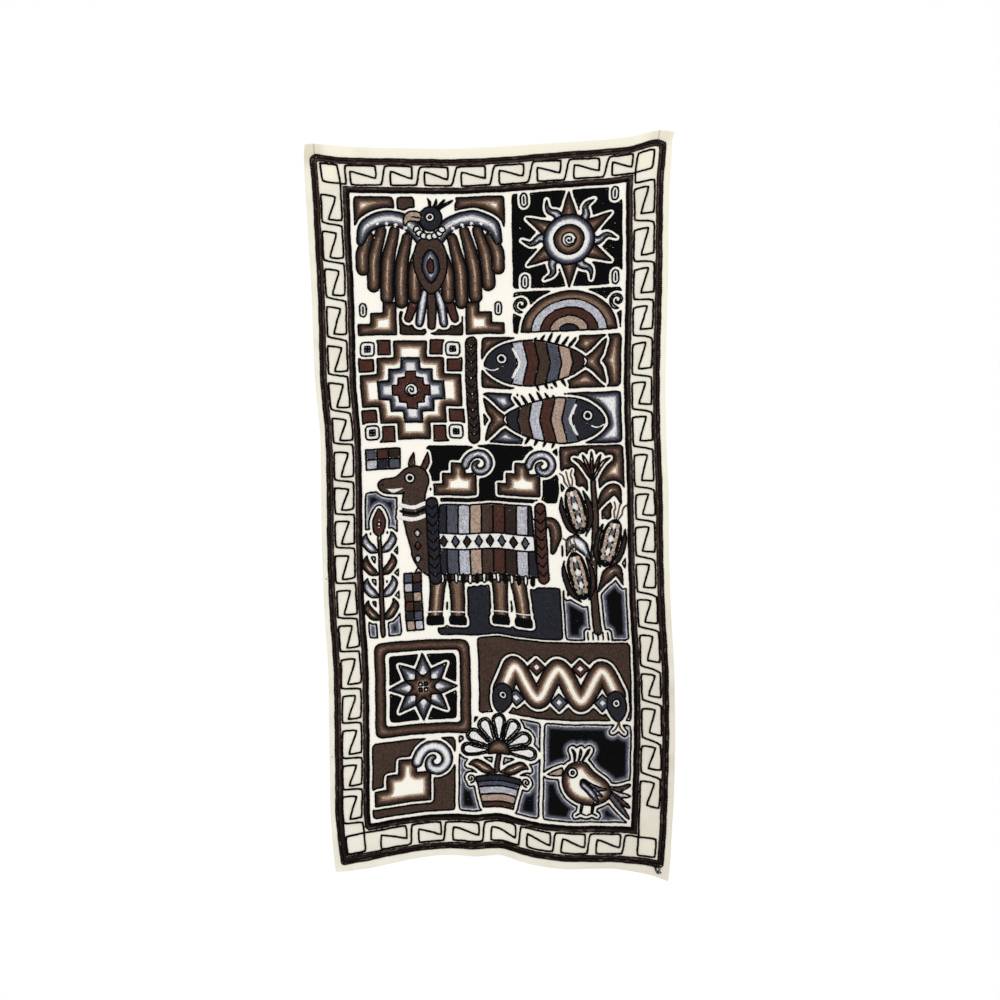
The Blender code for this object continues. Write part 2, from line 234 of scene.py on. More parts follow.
def stitchMarks(row, pitch):
    # where the stitches of a row meet: at its corners, and evenly between them
    points = np.vstack([row.points, row.points[:1]]) if row.closed else row.points
    runs = lineRuns(points)
    span, total = sewing["cornerSpan"], runs[-1]
    stops = np.array([])
    if total > 4 * span:
        ends = 0 if row.closed else span
        tries = np.arange(ends, total - ends, span / 4)
        here = pointsAlong(points, runs, tries)
        inward = here - pointsAlong(points, runs, (tries - span) % total)
        onward = pointsAlong(points, runs, (tries + span) % total) - here
        crossed = inward[:, 0] * onward[:, 1] - inward[:, 1] * onward[:, 0]
        turn = np.abs(np.arctan2(crossed, (inward * onward).sum(1)))
        for k in np.argsort(-turn, kind="stable"):
            if turn[k] < sewing["cornerTurn"]:
                break
            if not len(stops) or np.abs(stops - tries[k]).min() > 1.5 * span:
                stops = np.append(stops, tries[k])
    if row.closed and len(stops):
        first = stops.min()
        stops = np.append(np.sort(stops), first + total)
    else:
        stops = np.concatenate([[0], np.sort(stops), [total]])
    marks = [np.linspace(a, b, max(1, round((b - a) / pitch)) + 1)[1:] for a, b in zip(stops, stops[1:])]
    marks = np.concatenate([stops[:1], *marks])
    return pointsAlong(points, runs, marks % total if row.closed else marks)


def smoothLine(points, closed=False):
    # a smooth curve through the points
    points = [np.array(p, float) for p in points]
    count, steps = len(points), sewing["curveSteps"]
    curve = []
    for k in range(count if closed else count - 1):
        if closed:
            a, b, c, d = (points[(k + n) % count] for n in (-1, 0, 1, 2))
        else:
            b, c = points[k], points[k + 1]
            a = points[k - 1] if k else 2 * b - c
            d = points[k + 2] if k + 2 < count else 2 * c - b
        for step in range(steps):
            t = step / steps
            curve.append((2 * b + (c - a) * t + (2 * a - 5 * b + 4 * c - d) * t**2
                          + (3 * b - a - 3 * c + d) * t**3) / 2)
    return np.array(curve if closed else curve + [points[-1]])


def boxOf(points, room=0.0):
    points = np.array(points, float)
    return (*(points.min(0) - room), *(points.max(0) + room))


def inBox(place, box):
    return box[0] <= place[0] <= box[2] and box[1] <= place[1] <= box[3]


def cornered(points, corner=0.0):
    # a closed form with straight sides; corner pushes it outwards with round corners
    points = np.array(points, float)
    sides = list(zip(np.roll(points, 1, axis=0), points))

    def depth(x, y):
        nearest, inside = np.full(np.shape(x), 1e12), np.zeros(np.shape(x), bool)
        for (ax, ay), (bx, by) in sides:
            ex, ey = bx - ax, by - ay
            px, py = x - ax, y - ay
            t = np.clip((px * ex + py * ey) / (ex * ex + ey * ey + 1e-9), 0, 1)
            nearest = np.minimum(nearest, (px - t * ex) ** 2 + (py - t * ey) ** 2)
            if ay != by:
                inside ^= ((ay > y) != (by > y)) & (px < ex * py / ey)
        return np.where(inside, 1.0, -1.0) * np.sqrt(nearest) + corner

    return Form(depth, boxOf(points, corner))


def curved(points):
    return cornered(smoothLine(points, closed=True))


def block(left, top, width, height, corner):
    right, bottom = left + width - corner, top + height - corner
    left, top = left + corner, top + corner
    return cornered([(left, top), (right, top), (right, bottom), (left, bottom)], corner)


def disc(x, y, radius):
    return Form(lambda px, py: radius - np.hypot(px - x, py - y), boxOf([(x, y)], radius))


def strand(points, *halfWidths, smooth=True):
    # a limb along a line, as wide at each stage as the half widths say
    line = smoothLine(points) if smooth else np.array(points, float)
    run = np.linspace(0, len(halfWidths) - 1, len(line))
    widths = np.interp(run, range(len(halfWidths)), halfWidths)
    parts = list(zip(line, line[1:], widths, widths[1:]))

    def depth(x, y):
        deepest = np.full(np.shape(x), -1e6)
        for (ax, ay), (bx, by), near, far in parts:
            ex, ey = bx - ax, by - ay
            px, py = x - ax, y - ay
            t = np.clip((px * ex + py * ey) / (ex * ex + ey * ey + 1e-9), 0, 1)
            gap = np.hypot(px - t * ex, py - t * ey)
            deepest = np.maximum(deepest, near * (1 - t) + far * t - gap)
        return deepest

    return Form(depth, boxOf(line, max(halfWidths)))


def joined(*forms):
    lows, highs = np.array([f.box for f in forms]).min(0), np.array([f.box for f in forms]).max(0)
    return Form(lambda x, y: np.maximum.reduce([f.depth(x, y) for f in forms]),
                (lows[0], lows[1], highs[2], highs[3]))


def within(form, other):
    # the part of a form that lies inside another
    return Form(lambda x, y: np.minimum(form.depth(x, y), other.depth(x, y)), form.box)


def without(form, other):
    # a form with another cut out of it
    return Form(lambda x, y: np.minimum(form.depth(x, y), -other.depth(x, y)), form.box)


def star(tips, outer, inner, turn=0.0, corner=1.5):
    # a star from the reach of its tips and of the notches between them
    angles = [turn + pi * k / tips for k in range(2 * tips)]
    radii = [outer if k % 2 == 0 else inner for k in range(2 * tips)]
    return cornered([(r * sin(a), -r * cos(a)) for r, a in zip(radii, angles)], corner)


def stepped(steps):
    # a cross with stepped corners, from the half width and half height of each step
    quarter = []
    for k, (width, height) in enumerate(steps):
        quarter += [(width, steps[k - 1][1] if k else 0), (width, height)]
    half = quarter[1:] + [(-x, y) for x, y in reversed(quarter[1:])]
    return cornered(half + [(-x, -y) for x, y in half])


def spiral(x, y, outer, inner, turns, start=0.0, clockwise=1):
    # points of a spiral line from its outer end to its middle
    shares = np.linspace(0, 1, int(turns * sewing["turnPoints"]))
    angles = start + clockwise * 2 * pi * turns * shares
    radii = outer + (inner - outer) * shares
    return np.stack([x + radii * np.cos(angles), y + radii * np.sin(angles)], axis=-1)


class Hoop:
    # a place on the cloth where one motif is drawn in its own millimetres

    def __init__(self, work, x, y, size=1.0, turn=0.0, flip=False):
        self.work, self.x, self.y, self.size, self.turn, self.flip = work, x, y, size, turn, flip
        self.cos, self.sin = cos(radians(turn)), sin(radians(turn))

    def mirrored(self, middle):
        # the same place, with the drawing mirrored about one of its own upright lines
        x, y = self.toCloth(np.array([[2 * middle, 0.0]]))[0]
        return Hoop(self.work, x, y, self.size, self.turn, not self.flip)

    def nested(self, x, y, turn=0.0, size=1.0):
        # a smaller place inside this one
        x, y = self.toCloth([(x, y)])[0]
        turned = self.turn - turn if self.flip else self.turn + turn
        return Hoop(self.work, x, y, self.size * size, turned, self.flip)

    def toCloth(self, points):
        points = np.array(points, float) * self.size
        px, py = points[:, 0] * (-1 if self.flip else 1), points[:, 1]
        return np.stack([self.x + px * self.cos - py * self.sin,
                         self.y + px * self.sin + py * self.cos], axis=-1)

    def placed(self, form):
        def depth(x, y):
            dx, dy = x - self.x, y - self.y
            px, py = dx * self.cos + dy * self.sin, dy * self.cos - dx * self.sin
            return self.size * form.depth(px * (-1 if self.flip else 1) / self.size, py / self.size)

        left, top, right, bottom = form.box
        corners = [(left, top), (right, top), (right, bottom), (left, bottom)]
        return Form(depth, boxOf(self.toCloth(corners)))

    def add(self, form, rows):
        edge, centre = yarnRows[rows]
        self.work.append(Shape(self.placed(form), edge, centre))

    def line(self, points, yarn="black", smooth=True):
        # one row of yarn along a line
        self.work.append(Row(self.toCloth(smoothLine(points) if smooth else points), yarn, False))

    def eye(self, x, y, radius):
        self.add(disc(x, y, radius), "white")
        self.add(disc(x, y, radius / 2), "black")


def depthGrid(form, room):
    # a form's depths on a grid of points round it
    step = sewing["gridStep"]
    left, top, right, bottom = form.box
    xs = np.arange(left - room, right + room + step, step)
    ys = np.arange(top - room, bottom + room + step, step)
    return xs, ys, form.depth(*np.meshgrid(xs, ys))


def levelLines(xs, ys, depths, level):
    # closed lines along which the depth has one value
    inside = depths > level
    a, b, c, d = inside[:-1, :-1], inside[:-1, 1:], inside[1:, 1:], inside[1:, :-1]
    links = {}
    for j, i in np.argwhere((a != b) | (b != c) | (c != d)):
        sides = [(j, i, 0), (j, i + 1, 1), (j + 1, i, 0), (j, i, 1)]
        ends = [a[j, i], b[j, i], c[j, i], d[j, i], a[j, i]]
        crossed = [side for side, near, far in zip(sides, ends, ends[1:]) if near != far]
        for k in range(0, len(crossed), 2):
            links.setdefault(crossed[k], []).append(crossed[k + 1])
            links.setdefault(crossed[k + 1], []).append(crossed[k])
    lines = []
    while links:
        previous, here = None, next(iter(links))
        line = []
        while here in links:
            ways = links.pop(here)
            line.append(here)
            previous, here = here, ways[1] if len(ways) > 1 and ways[0] == previous else ways[0]
        j, i, upright = np.array(line).T
        near, far = depths[j, i], depths[j + upright, i + 1 - upright]
        share = (level - near) / (far - near)
        lines.append(np.stack([xs[i] + (1 - upright) * share * (xs[1] - xs[0]),
                               ys[j] + upright * share * (ys[1] - ys[0])], axis=-1))
    return lines


def yarnWidth(yarn):
    return sewing["outlineWidth"] if yarn == "black" else sewing["fillWidth"]


def rowsOf(shape):
    # the rows of yarn that fill a shape, from its edge inwards
    xs, ys, depths = depthGrid(shape.form, 2 * sewing["gridStep"])
    deepest = depths.max()
    rows, level = [], 0.0
    for yarn in shape.rows:
        width = yarnWidth(yarn)
        if level + width / 2 > deepest:
            break
        rows += [Row(line, yarn, True) for line in levelLines(xs, ys, depths, level + width / 2)]
        level += width
    if shape.centre and deepest - level > sewing["leastMiddle"] * yarnWidth(shape.centre):
        count = max(1, round((deepest - level) / yarnWidth(shape.centre)))
        pitch = (deepest - level) / count
        for k in range(count):
            lines = levelLines(xs, ys, depths, level + (k + 0.5) * pitch)
            rows += [Row(line, shape.centre, True) for line in lines]
    return rows + gapRows(shape, rows, xs, ys, depths)


def halved(depths):
    # the same grid with twice as many lines each way
    for turn in range(2):
        close = np.empty((depths.shape[0], 2 * depths.shape[1] - 1))
        close[:, ::2] = depths
        close[:, 1::2] = (depths[:, :-1] + depths[:, 1:]) / 2
        depths = close.T
    return depths


def gapRows(shape, rows, xs, ys, depths):
    # short stitches where the rows of a shape leave the cloth open
    step, depths = sewing["gridStep"] / 2, halved(depths)
    bare = depths > sewing["gapEdge"]
    last = np.array(bare.shape) - 1
    for row in rows:
        reach = round(yarnWidth(row.yarn) / 2 / step)
        marks = stitchMarks(row, sewing["fillPitch"])
        runs = lineRuns(marks)
        sewnLine = pointsAlong(marks, runs, np.append(np.arange(0, runs[-1], step), runs[-1]))
        places = np.rint((sewnLine[:, ::-1] - (ys[0], xs[0])) / step).astype(int)
        for down in range(-reach, reach + 1):
            for across in range(-reach, reach + 1):
                if down**2 + across**2 <= reach**2 + 1:
                    bare[tuple(np.clip(places + (down, across), 0, last).T)] = False
    levels = np.cumsum([yarnWidth(yarn) for yarn in shape.rows])
    found, left = [], {tuple(place) for place in np.argwhere(bare).tolist()}
    for start in sorted(left):
        if start not in left:
            continue
        left.discard(start)
        spot = [start]
        for j, i in spot:
            for near in ((j - 1, i), (j, i - 1), (j, i + 1), (j + 1, i)):
                reach = np.hypot(near[0] - start[0], near[1] - start[1]) * step
                if near in left and reach < sewing["gapReach"]:
                    left.discard(near)
                    spot.append(near)
        deep = np.mean([depths[place] for place in spot]) + sewing["gapDeeper"]
        k = int(np.searchsorted(levels, deep))
        yarn = shape.rows[k] if k < len(levels) else shape.centre
        if len(spot) < sewing["gapPlaces"] or yarn is None:
            continue
        places = np.array(spot)[:, ::-1] * step + (xs[0], ys[0])
        middle = places.mean(0)
        way = np.linalg.svd(places - middle)[2][0]
        run = (places - middle) @ way
        length = max(np.ptp(run), sewing["gapStitch"]) / 2
        centre = (run.max() + run.min()) / 2
        found.append(Row(middle + np.outer([centre - length, centre + length], way), yarn, False))
    return found


def clearOf(item, x, y, width):
    # which points of a row aren't covered by what was sewn over it; a row ends under an outline
    if isinstance(item, Shape):
        kind, cover = "outlined" if item.rows[:1] == ["black"] else "plain", item.form
    else:
        kind, cover = "row", strand(item.points, 0.5 * yarnWidth(item.yarn), smooth=False)
    return cover.depth(x, y) < sewing["tuck"][kind] * width


def cutRow(row, keep):
    # the stretches of a row that are kept
    points = row.points
    if keep.all():
        return [row]
    if row.closed:
        start = int(np.argmin(keep))
        points, keep = np.roll(points, -start, axis=0), np.roll(keep, -start)
    edges = np.flatnonzero(np.diff(np.concatenate([[0], keep.astype(int), [0]])))
    return [Row(points[first:last], row.yarn, False) for first, last in zip(edges[::2], edges[1::2])]


def sewnRows(work):
    # every row of a drawing, with what lies under a later shape cut away
    boxes = np.array([item.form.box if isinstance(item, Shape) else boxOf(item.points, sewing["rowRoom"])
                      for item in work])
    finished = []
    for k, item in enumerate(work):
        left, top, right, bottom = boxes[k]
        over = [n for n in range(k + 1, len(work)) if boxes[n][0] < right and boxes[n][2] > left
                and boxes[n][1] < bottom and boxes[n][3] > top]
        for row in rowsOf(item) if isinstance(item, Shape) else [item]:
            x, y = row.points.T
            keep = np.ones(len(x), bool)
            for n in over:
                keep &= clearOf(work[n], x, y, yarnWidth(row.yarn))
            for piece in cutRow(row, keep):
                if lineLength(piece.points, piece.closed) > sewing["shortestRow"]:
                    finished.append(piece)
    return finished


# What fills the room between the motifs keeps clear of them by the channel
filling = {
    "reach": 60.0,
    "channel": 3.0,
    "corner": 6,
    "rowHalf": 1.5,
    "speck": 18,  # no form with a shorter outline is filled
    # left, top, width and height of each filled gap, and its yarns
    "panels": [
        (5, 5, 66, 60, "brownHalo"),
        (166, 5, 82, 60, "brownHalo"),
        (74, 5, 30, 40, "olive"),
        (72, 196, 46, 44, "umber"),
        (122, 206, 58, 34, "umber"),
        (258, 4, 178, 160, "black"),
        (258, 168, 178, 72, "black"),
        (4, 246, 172, 86, "russet"),
        (4, 336, 172, 84, "russet"),
        (206, 244, 231, 88, "brownHalo"),
        (206, 338, 231, 86, "greyHalo"),
        (108, 426, 220, 96, "black"),
        (34, 778, 112, 112, "black"),
        (4, 500, 56, 246, "nightShade"),
        (330, 426, 108, 130, "brownHalo"),
        (330, 560, 108, 188, "nightShade"),
        (118, 660, 210, 88, "charcoal"),
        (182, 750, 256, 130, "olive"),
        (4, 920, 140, 126, "olive"),
        (148, 884, 138, 162, "nightShade"),
        (290, 884, 148, 162, "nightShade"),
    ],
}


def fillBetween(work):
    # forms that fill the room between the motifs
    reach, channel, half = filling["reach"], filling["channel"], filling["rowHalf"]
    motifs = [item.form if isinstance(item, Shape) else strand(item.points, half, smooth=False)
              for item in work]
    rows = []
    for left, top, width, height, colour in filling["panels"]:
        panel = block(left, top, width, height, filling["corner"])
        near = [form for form in motifs
                if form.box[0] < left + width + channel and form.box[2] > left - channel
                and form.box[1] < top + height + channel and form.box[3] > top - channel]

        def depth(x, y):
            deepest = np.full(np.shape(x), -reach)
            for form in near:
                close = (x > form.box[0] - reach) & (x < form.box[2] + reach)
                close &= (y > form.box[1] - reach) & (y < form.box[3] + reach)
                if close.any():
                    deepest[close] = np.maximum(deepest[close], form.depth(x[close], y[close]))
            return np.minimum(panel.depth(x, y), -deepest - channel)

        edge, centre = yarnRows[colour]
        found = rowsOf(Shape(Form(depth, panel.box), edge, centre))
        specks = [boxOf(row.points, 0.5) for row in found
                  if row.yarn == "black" and row.closed and lineLength(row.points, True) < filling["speck"]]
        rows += [row for row in found if not any(inBox(row.points.mean(0), speck) for speck in specks)]
    return rows


def lineLength(points, closed=False):
    runs = np.diff(np.vstack([points, points[:1]]) if closed else points, axis=0)
    return float(np.hypot(*runs.T).sum()) if len(points) > 1 else 0.0


# Motifs of the picture field: a generic set of animals, plants, stars and steps. Each is drawn in its own
# millimetres, which are its only measures.


def leaf(points, width):
    # a form with a point at each end
    return strand(points, 1.0, width, width * 0.9, 1.0)


def sewBraid(hoop, start, end, width, links, rows="charcoal"):
    # a plait: a full strap with dark chevrons sewn over it
    link = np.array([end[0] - start[0], end[1] - start[1]]) / links
    across = np.array([-link[1], link[0]]) / np.hypot(*link) * width / 2
    hoop.add(strand([start, end], width / 2 + 1.5, smooth=False), rows)
    for k in range(links):
        tip = np.array(start) + link * (k + 0.75)
        hoop.line([tip - link * 0.55 - across * 0.8, tip, tip - link * 0.55 + across * 0.8], smooth=False)


def sewSpiral(hoop, x, y, outer, turns, start=0.0, clockwise=1):
    # a row that winds in to its middle
    hoop.line(spiral(x, y, outer, 1.0, turns, start, clockwise), smooth=False)


def sewStripes(hoop, form, left, top, pitch, slant, height, rows):
    # upright stripes cut to a form; each reaches under the next one, so that they share an outline
    lap = sewing["outlineWidth"]
    for k, colour in enumerate(rows):
        x = left + pitch * k
        stripe = cornered([(x, top), (x + pitch + lap, top), (x + pitch + lap + slant, top + height),
                           (x + slant, top + height)])
        hoop.add(within(stripe, form), colour)


def sewCondor(hoop):
    for x, reach, rows in ((-38, 62, "russet"), (-20, 70, "slimGrey"), (20, 70, "slimGrey"),
                           (38, 62, "russet"), (0, 74, "olive")):
        feather = [(120 + x * 0.2, 140), (120 + x * 0.7, 172), (120 + x, 142 + reach)]
        hoop.add(strand(feather, 5, 9, 7.5), rows)
    for wing in (hoop, hoop.mirrored(120)):
        for x, y, tipX, tipY in ((104, 84, 93, 168), (84, 66, 71, 176), (64, 55, 48, 168),
                                 (43, 54, 27, 148), (23, 66, 11, 120)):
            middle = (x + tipX) / 2 - 5, (y + tipY) / 2
            wing.add(strand([(x, y), middle, (tipX, tipY)], 9, 12, 11.5), "brownHalo")
        wing.add(strand([(10, 74), (20, 48), (52, 34), (88, 44), (110, 72)], 8, 13, 14, 13, 12), "greyHalo")
        for k in range(6):
            wing.add(disc(22 + 15 * k, 50 - 11 * sin(pi * (k + 0.6) / 6) + k * 1.8, 3.4), "bareWhite")
    body = [(120, 58), (143, 78), (149, 112), (138, 148), (120, 164), (102, 148), (91, 112), (97, 78)]
    hoop.add(curved(body), "olive")
    hoop.add(curved([(120, 84), (133, 98), (135, 124), (120, 146), (105, 124), (107, 98)]), "greyHalo")
    hoop.add(curved([(120, 98), (126, 106), (127, 120), (120, 130), (113, 120), (114, 106)]), "russet")
    for k in range(7):
        angle = radians(-75 + 25 * k)
        hoop.add(disc(120 + 21 * sin(angle), 48 + 17 * cos(angle), 7.5), "white")
    for k in range(4):
        crest = [(121 + 4 * k, 20), (122 + 9 * k, 9), (119 + 13 * k, 1 + k)]
        hoop.add(strand(crest, 2.4, 3.3, 2.4), "line")
    head = [(104, 44), (103, 26), (117, 13), (134, 16), (142, 32), (136, 50), (119, 57)]
    hoop.add(curved(head), "charcoal")
    hoop.add(curved([(108, 24), (92, 20), (79, 28), (77, 43), (83, 49), (89, 40), (106, 41)]), "tan")
    hoop.line([(92, 31), (104, 33)], smooth=False)
    hoop.eye(121, 32, 9.5)


def sewSun(hoop):
    for k in range(12):
        angle = radians(30 * k)
        way, side = np.array([sin(angle), -cos(angle)]), np.array([cos(angle), sin(angle)])
        if k % 2 == 0:
            hoop.add(cornered([way * 30 - side * 15, way * 78, way * 30 + side * 15], 2.0), "brownHalo")
        else:
            bend = [way * 30, way * 46 + side * 5, way * 60 - side * 4, way * 76 + side * 3]
            hoop.add(strand(bend, 9.5, 7.5, 5.0, 2.0), "slimGrey")
    hoop.add(disc(0, 0, 43), "greyHalo")
    hoop.add(disc(0, 0, 26), "brownShade")
    hoop.add(disc(0, 0, 13.5), "white")
    sewSpiral(hoop, 0, 0, 9.5, 1.7)


def sewArches(hoop, colours):
    # arches one inside another, each a stripe
    for k, rows in enumerate(colours):
        reach = 80 - 15.5 * k
        arch = [(-reach * cos(angle), -reach * 0.86 * sin(angle)) for angle in np.linspace(0, pi, 22)]
        hoop.add(cornered([(-reach, 0)] + arch + [(reach, 0)]), rows)


def sewCross(hoop):
    hoop.add(stepped([(84, 28), (56, 56), (28, 84)]), "brownHalo")
    hoop.add(stepped([(56, 17), (37, 37), (17, 56)]), "greyHalo")
    hoop.add(stepped([(33, 10), (22, 22), (10, 33)]), "russet")
    hoop.add(disc(0, 0, 13), "white")
    sewSpiral(hoop, 0, 0, 9.0, 1.6, start=1.0)
    for x in (-70, 70):
        for y in (-70, 70):
            hoop.add(block(x - 13, y - 13, 26, 26, 6), "white")
            hoop.add(block(x - 6.5, y - 6.5, 13, 13, 3), "black")


def sewFish(hoop, stripes):
    tail = curved([(60, 0), (80, -16), (104, -38), (100, -12), (93, 0), (100, 12), (104, 38), (80, 16)])
    hoop.add(tail, "brownHalo")
    for k in range(6):
        spine = [(-22 + 13 * k, -26), (-12 + 13 * k, -47 + abs(k - 2) * 3)]
        hoop.add(strand(spine, 3.5, 2.6, smooth=False), "line")
    for k in range(4):
        hoop.add(strand([(-16 + 15 * k, 26), (-8 + 15 * k, 44 - k * 2)], 3.5, 2.6, smooth=False), "line")
    body = curved([(-98, 3), (-74, -28), (-24, -40), (32, -29), (70, -9), (70, 9), (32, 29), (-24, 40),
                   (-74, 29)])
    hoop.add(body, "white")
    for k, rows in enumerate(stripes):
        x = -48 + 18.5 * k
        band = [(x - 7, -44), (x + 3, 0), (x - 7, 44), (x + 14.6, 44), (x + 24.6, 0), (x + 14.6, -44)]
        hoop.add(within(cornered(band), body), rows)
    head = cornered([(-100, -44), (-52, -44), (-40, 0), (-52, 44), (-100, 44)])
    hoop.add(within(head, body), "charcoal")
    hoop.add(strand([(-49, -24), (-39, 0), (-49, 24)], 2.4), "bareWhite")
    hoop.eye(-68, -7, 11)
    hoop.line([(-97, 8), (-84, 13), (-74, 10)], "white")


def sewScroll(hoop):
    # a running wave: three steps up to a hook that curls over
    steps = [(0, 76), (0, 58), (15, 58), (15, 40), (30, 40), (30, 22), (52, 22), (52, 40), (70, 40),
             (70, 76)]
    hoop.add(cornered(steps, 1.5), "brownHalo")
    hoop.add(strand(spiral(76, 26, 23, 5, 1.2, start=pi), 8.0, 8.0, 7.0, 4.0, smooth=False), "slimGrey")


def sewSteps(hoop, width, height, count, rows):
    # a stair that climbs to the right
    stair = [(0, 0)]
    for k in range(count):
        level = -height * (k + 1) / count
        stair += [(width * k / count, level), (width * (k + 1) / count, level)]
    hoop.add(cornered(stair + [(width, 0)], 1.5), rows)


def sewPlant(hoop, height, leaves):
    # a stalk with leaves in pairs and a bud
    for k in range(leaves):
        y = -height * (0.12 + 0.70 * k / leaves)
        for side in (-1, 1):
            tip = [(0, y), (side * 13, y - 8), (side * 23, y - 22), (side * 20, y - 36)]
            hoop.add(leaf(tip, 8.5), ("slimBrown", "slimGrey")[k % 2])
    hoop.add(strand([(0, 0), (2, -height * 0.5), (0, -height * 0.86)], 5, 4.5, 4), "olive")
    hoop.add(curved([(0, -height), (12, -height * 0.9), (9, -height * 0.8), (0, -height * 0.77),
                     (-9, -height * 0.8), (-12, -height * 0.9)]), "russet")
    hoop.add(disc(0, -height * 0.87, 5.5), "white")


def sewCoil(hoop, size):
    # a thick spiral
    line = spiral(0, 0, size, size * 0.2, 1.3, start=pi / 2)
    hoop.add(strand(line, size * 0.27, size * 0.25, size * 0.2, smooth=False), "slimBrown")


def sewRing(hoop):
    # a long ring round one stitch
    hoop.add(strand([(0, -6), (0, 6)], 7), "white")
    hoop.line([(0, -6), (0, 6)], smooth=False)


def sewLlama(hoop):
    for x, foot, rows in ((240, 252, "brownHalo"), (112, 104, "brownHalo"), (212, 214, "brownShade"),
                          (140, 142, "brownShade")):
        hoop.add(strand([(x, 184), ((x + foot) / 2 + 2, 226), (foot, 268)], 18, 13, 12.5), rows)
        hoop.add(block(foot - 16, 268, 31, 17, 5), "black")
        hoop.line([(foot - 13, 262), (foot + 12, 262)], "white", smooth=False)
    hoop.add(strand([(278, 112), (302, 108), (310, 128), (304, 156)], 9, 10, 11, 5), "brownHalo")
    body = curved([(72, 128), (104, 100), (180, 94), (252, 94), (288, 112), (297, 152), (284, 192),
                   (240, 208), (160, 212), (98, 204), (70, 170)])
    neck = strand([(104, 160), (84, 118), (74, 76), (80, 42)], 34, 25, 20, 19)
    head = curved([(98, 26), (100, 48), (80, 60), (46, 62), (22, 58), (13, 46), (20, 34), (44, 31),
                   (62, 17), (84, 14)])
    for x, tip in ((88, 96), (72, 72)):
        hoop.add(strand([(x, 24), (tip, 8), (tip + 3, -8)], 6.5, 6.5, 2.0), "russet")
    hoop.add(joined(body, neck, head), "olive")
    hoop.add(leaf([(30, 52), (42, 55), (56, 52)], 3.0), "bareWhite")
    hoop.add(disc(22, 43, 3.0), "black")
    hoop.eye(68, 35, 10.5)
    for k, rows in enumerate(("bareWhite", "russet", "bareWhite")):
        y = 76 + 10 * k
        hoop.add(strand([(53 - k, y + 4), (74, y + 9), (98 + 2 * k, y)], 3.0), rows)
    for k in range(4):
        y = 128 + 22 * k
        hoop.add(cornered([(72, y), (80, y - 10), (88, y), (80, y + 10)]), ("silver", "russet")[k % 2])
    blanket = cornered([(120, 84), (266, 84), (276, 196), (112, 196)], 5)
    hoop.add(blanket, "line")
    stripes = ("charcoal", "slate", "silver", "tan", "olive", "russet", "umber", "silver", "charcoal")
    sewStripes(hoop, blanket, 107, 78, 19.4, 0, 124, stripes)
    hoop.add(within(block(100, 128, 190, 30, 0.5), blanket), "white")
    for k in range(8):
        x = 123 + 19.4 * k
        hoop.add(cornered([(x - 8.6, 143), (x, 130), (x + 8.6, 143), (x, 156)]), ("umber", "slate")[k % 2])
    for k in range(14):
        x = 119 + 11.6 * k
        hoop.add(strand([(x, 200), (x, 211)], 4.4, smooth=False), ("white", "black")[k % 2])
    sewBraid(hoop, (104, 78), (108, 206), 20, 9)
    sewBraid(hoop, (284, 84), (288, 200), 18, 8, "russet")


def sewMaize(hoop):
    for x, side in ((44, -1), (50, 1)):
        for k in range(3):
            y = 262 - 66 * k - (18 if side > 0 else 0)
            blade = [(x, y), (x + side * 18, y - 30), (x + side * 34, y - 38), (x + side * 44, y - 12)]
            hoop.add(leaf(blade, 11), ("brownHalo", "slimGrey")[k % 2])
    hoop.add(strand([(47, 306), (44, 220), (50, 130), (46, 52)], 8, 7, 6.5, 5), "olive")
    for k in range(-2, 3):
        tassel = [(46, 58), (46 + k * 9, 30), (46 + k * 15, 12 + abs(k) * 5)]
        hoop.add(strand(tassel, 3.4, 4.2, 2.6), "russet")
    for x, y, turn in ((18, 106, -14), (74, 160, 16), (20, 214, -12)):
        cob = hoop.nested(x, y, turn, 1.18)
        ear = [(0, -34), (12, -22), (14, 4), (9, 28), (0, 36), (-9, 28), (-14, 4), (-12, -22)]
        cob.add(curved(ear), "black")
        for row in range(6):
            for column in range(3):
                width = 6.6 if 0 < row < 5 else 4.6
                cell = block((column - 1.5) * width + 0.6, -27 + row * 9.2, width - 1.2, 7.6, 2.2)
                kind = (row * 2 + column * 3) % 4
                cob.add(cell, ("plainTan", "plainGrey", "plainTan", "bareWhite")[kind])
        for side in (-1, 1):
            husk = [(side * 3, 40), (side * 16, 20), (side * 19, -6), (side * 15, -26)]
            cob.add(leaf(husk, 5.0), "brownShade")
        for k in (-1, 0, 1):
            cob.line([(k * 3, -34), (k * 6, -42), (k * 5, -49), (k * 9, -55)], "chestnut")
    for k in range(5):
        hoop.line([(30 + 8.4 * k, 308), (30 + 8.4 * k, 320)], smooth=False)


def sewStar(hoop):
    hoop.add(without(block(-80, -80, 160, 160, 12), block(-61, -61, 122, 122, 5)), "brownShade")
    hoop.add(star(8, 56, 31, corner=2.0), "greyHalo")
    hoop.add(star(8, 32, 18, turn=pi / 8), "brownShade")
    for x, y, rows in ((-9, -9, "white"), (0, -9, "russet"), (-9, 0, "russet"), (0, 0, "white")):
        hoop.add(block(x, y, 9, 9, 1), rows)


def sewChecks(hoop, columns, rows, width, height, colours):
    # a block of small squares, each with its outline
    lap = sewing["outlineWidth"]
    for row in range(rows):
        for column in range(columns):
            square = block(column * width, row * height, width + lap, height + lap, 1.5)
            hoop.add(square, colours[(column * 2 + row * 3) % len(colours)])


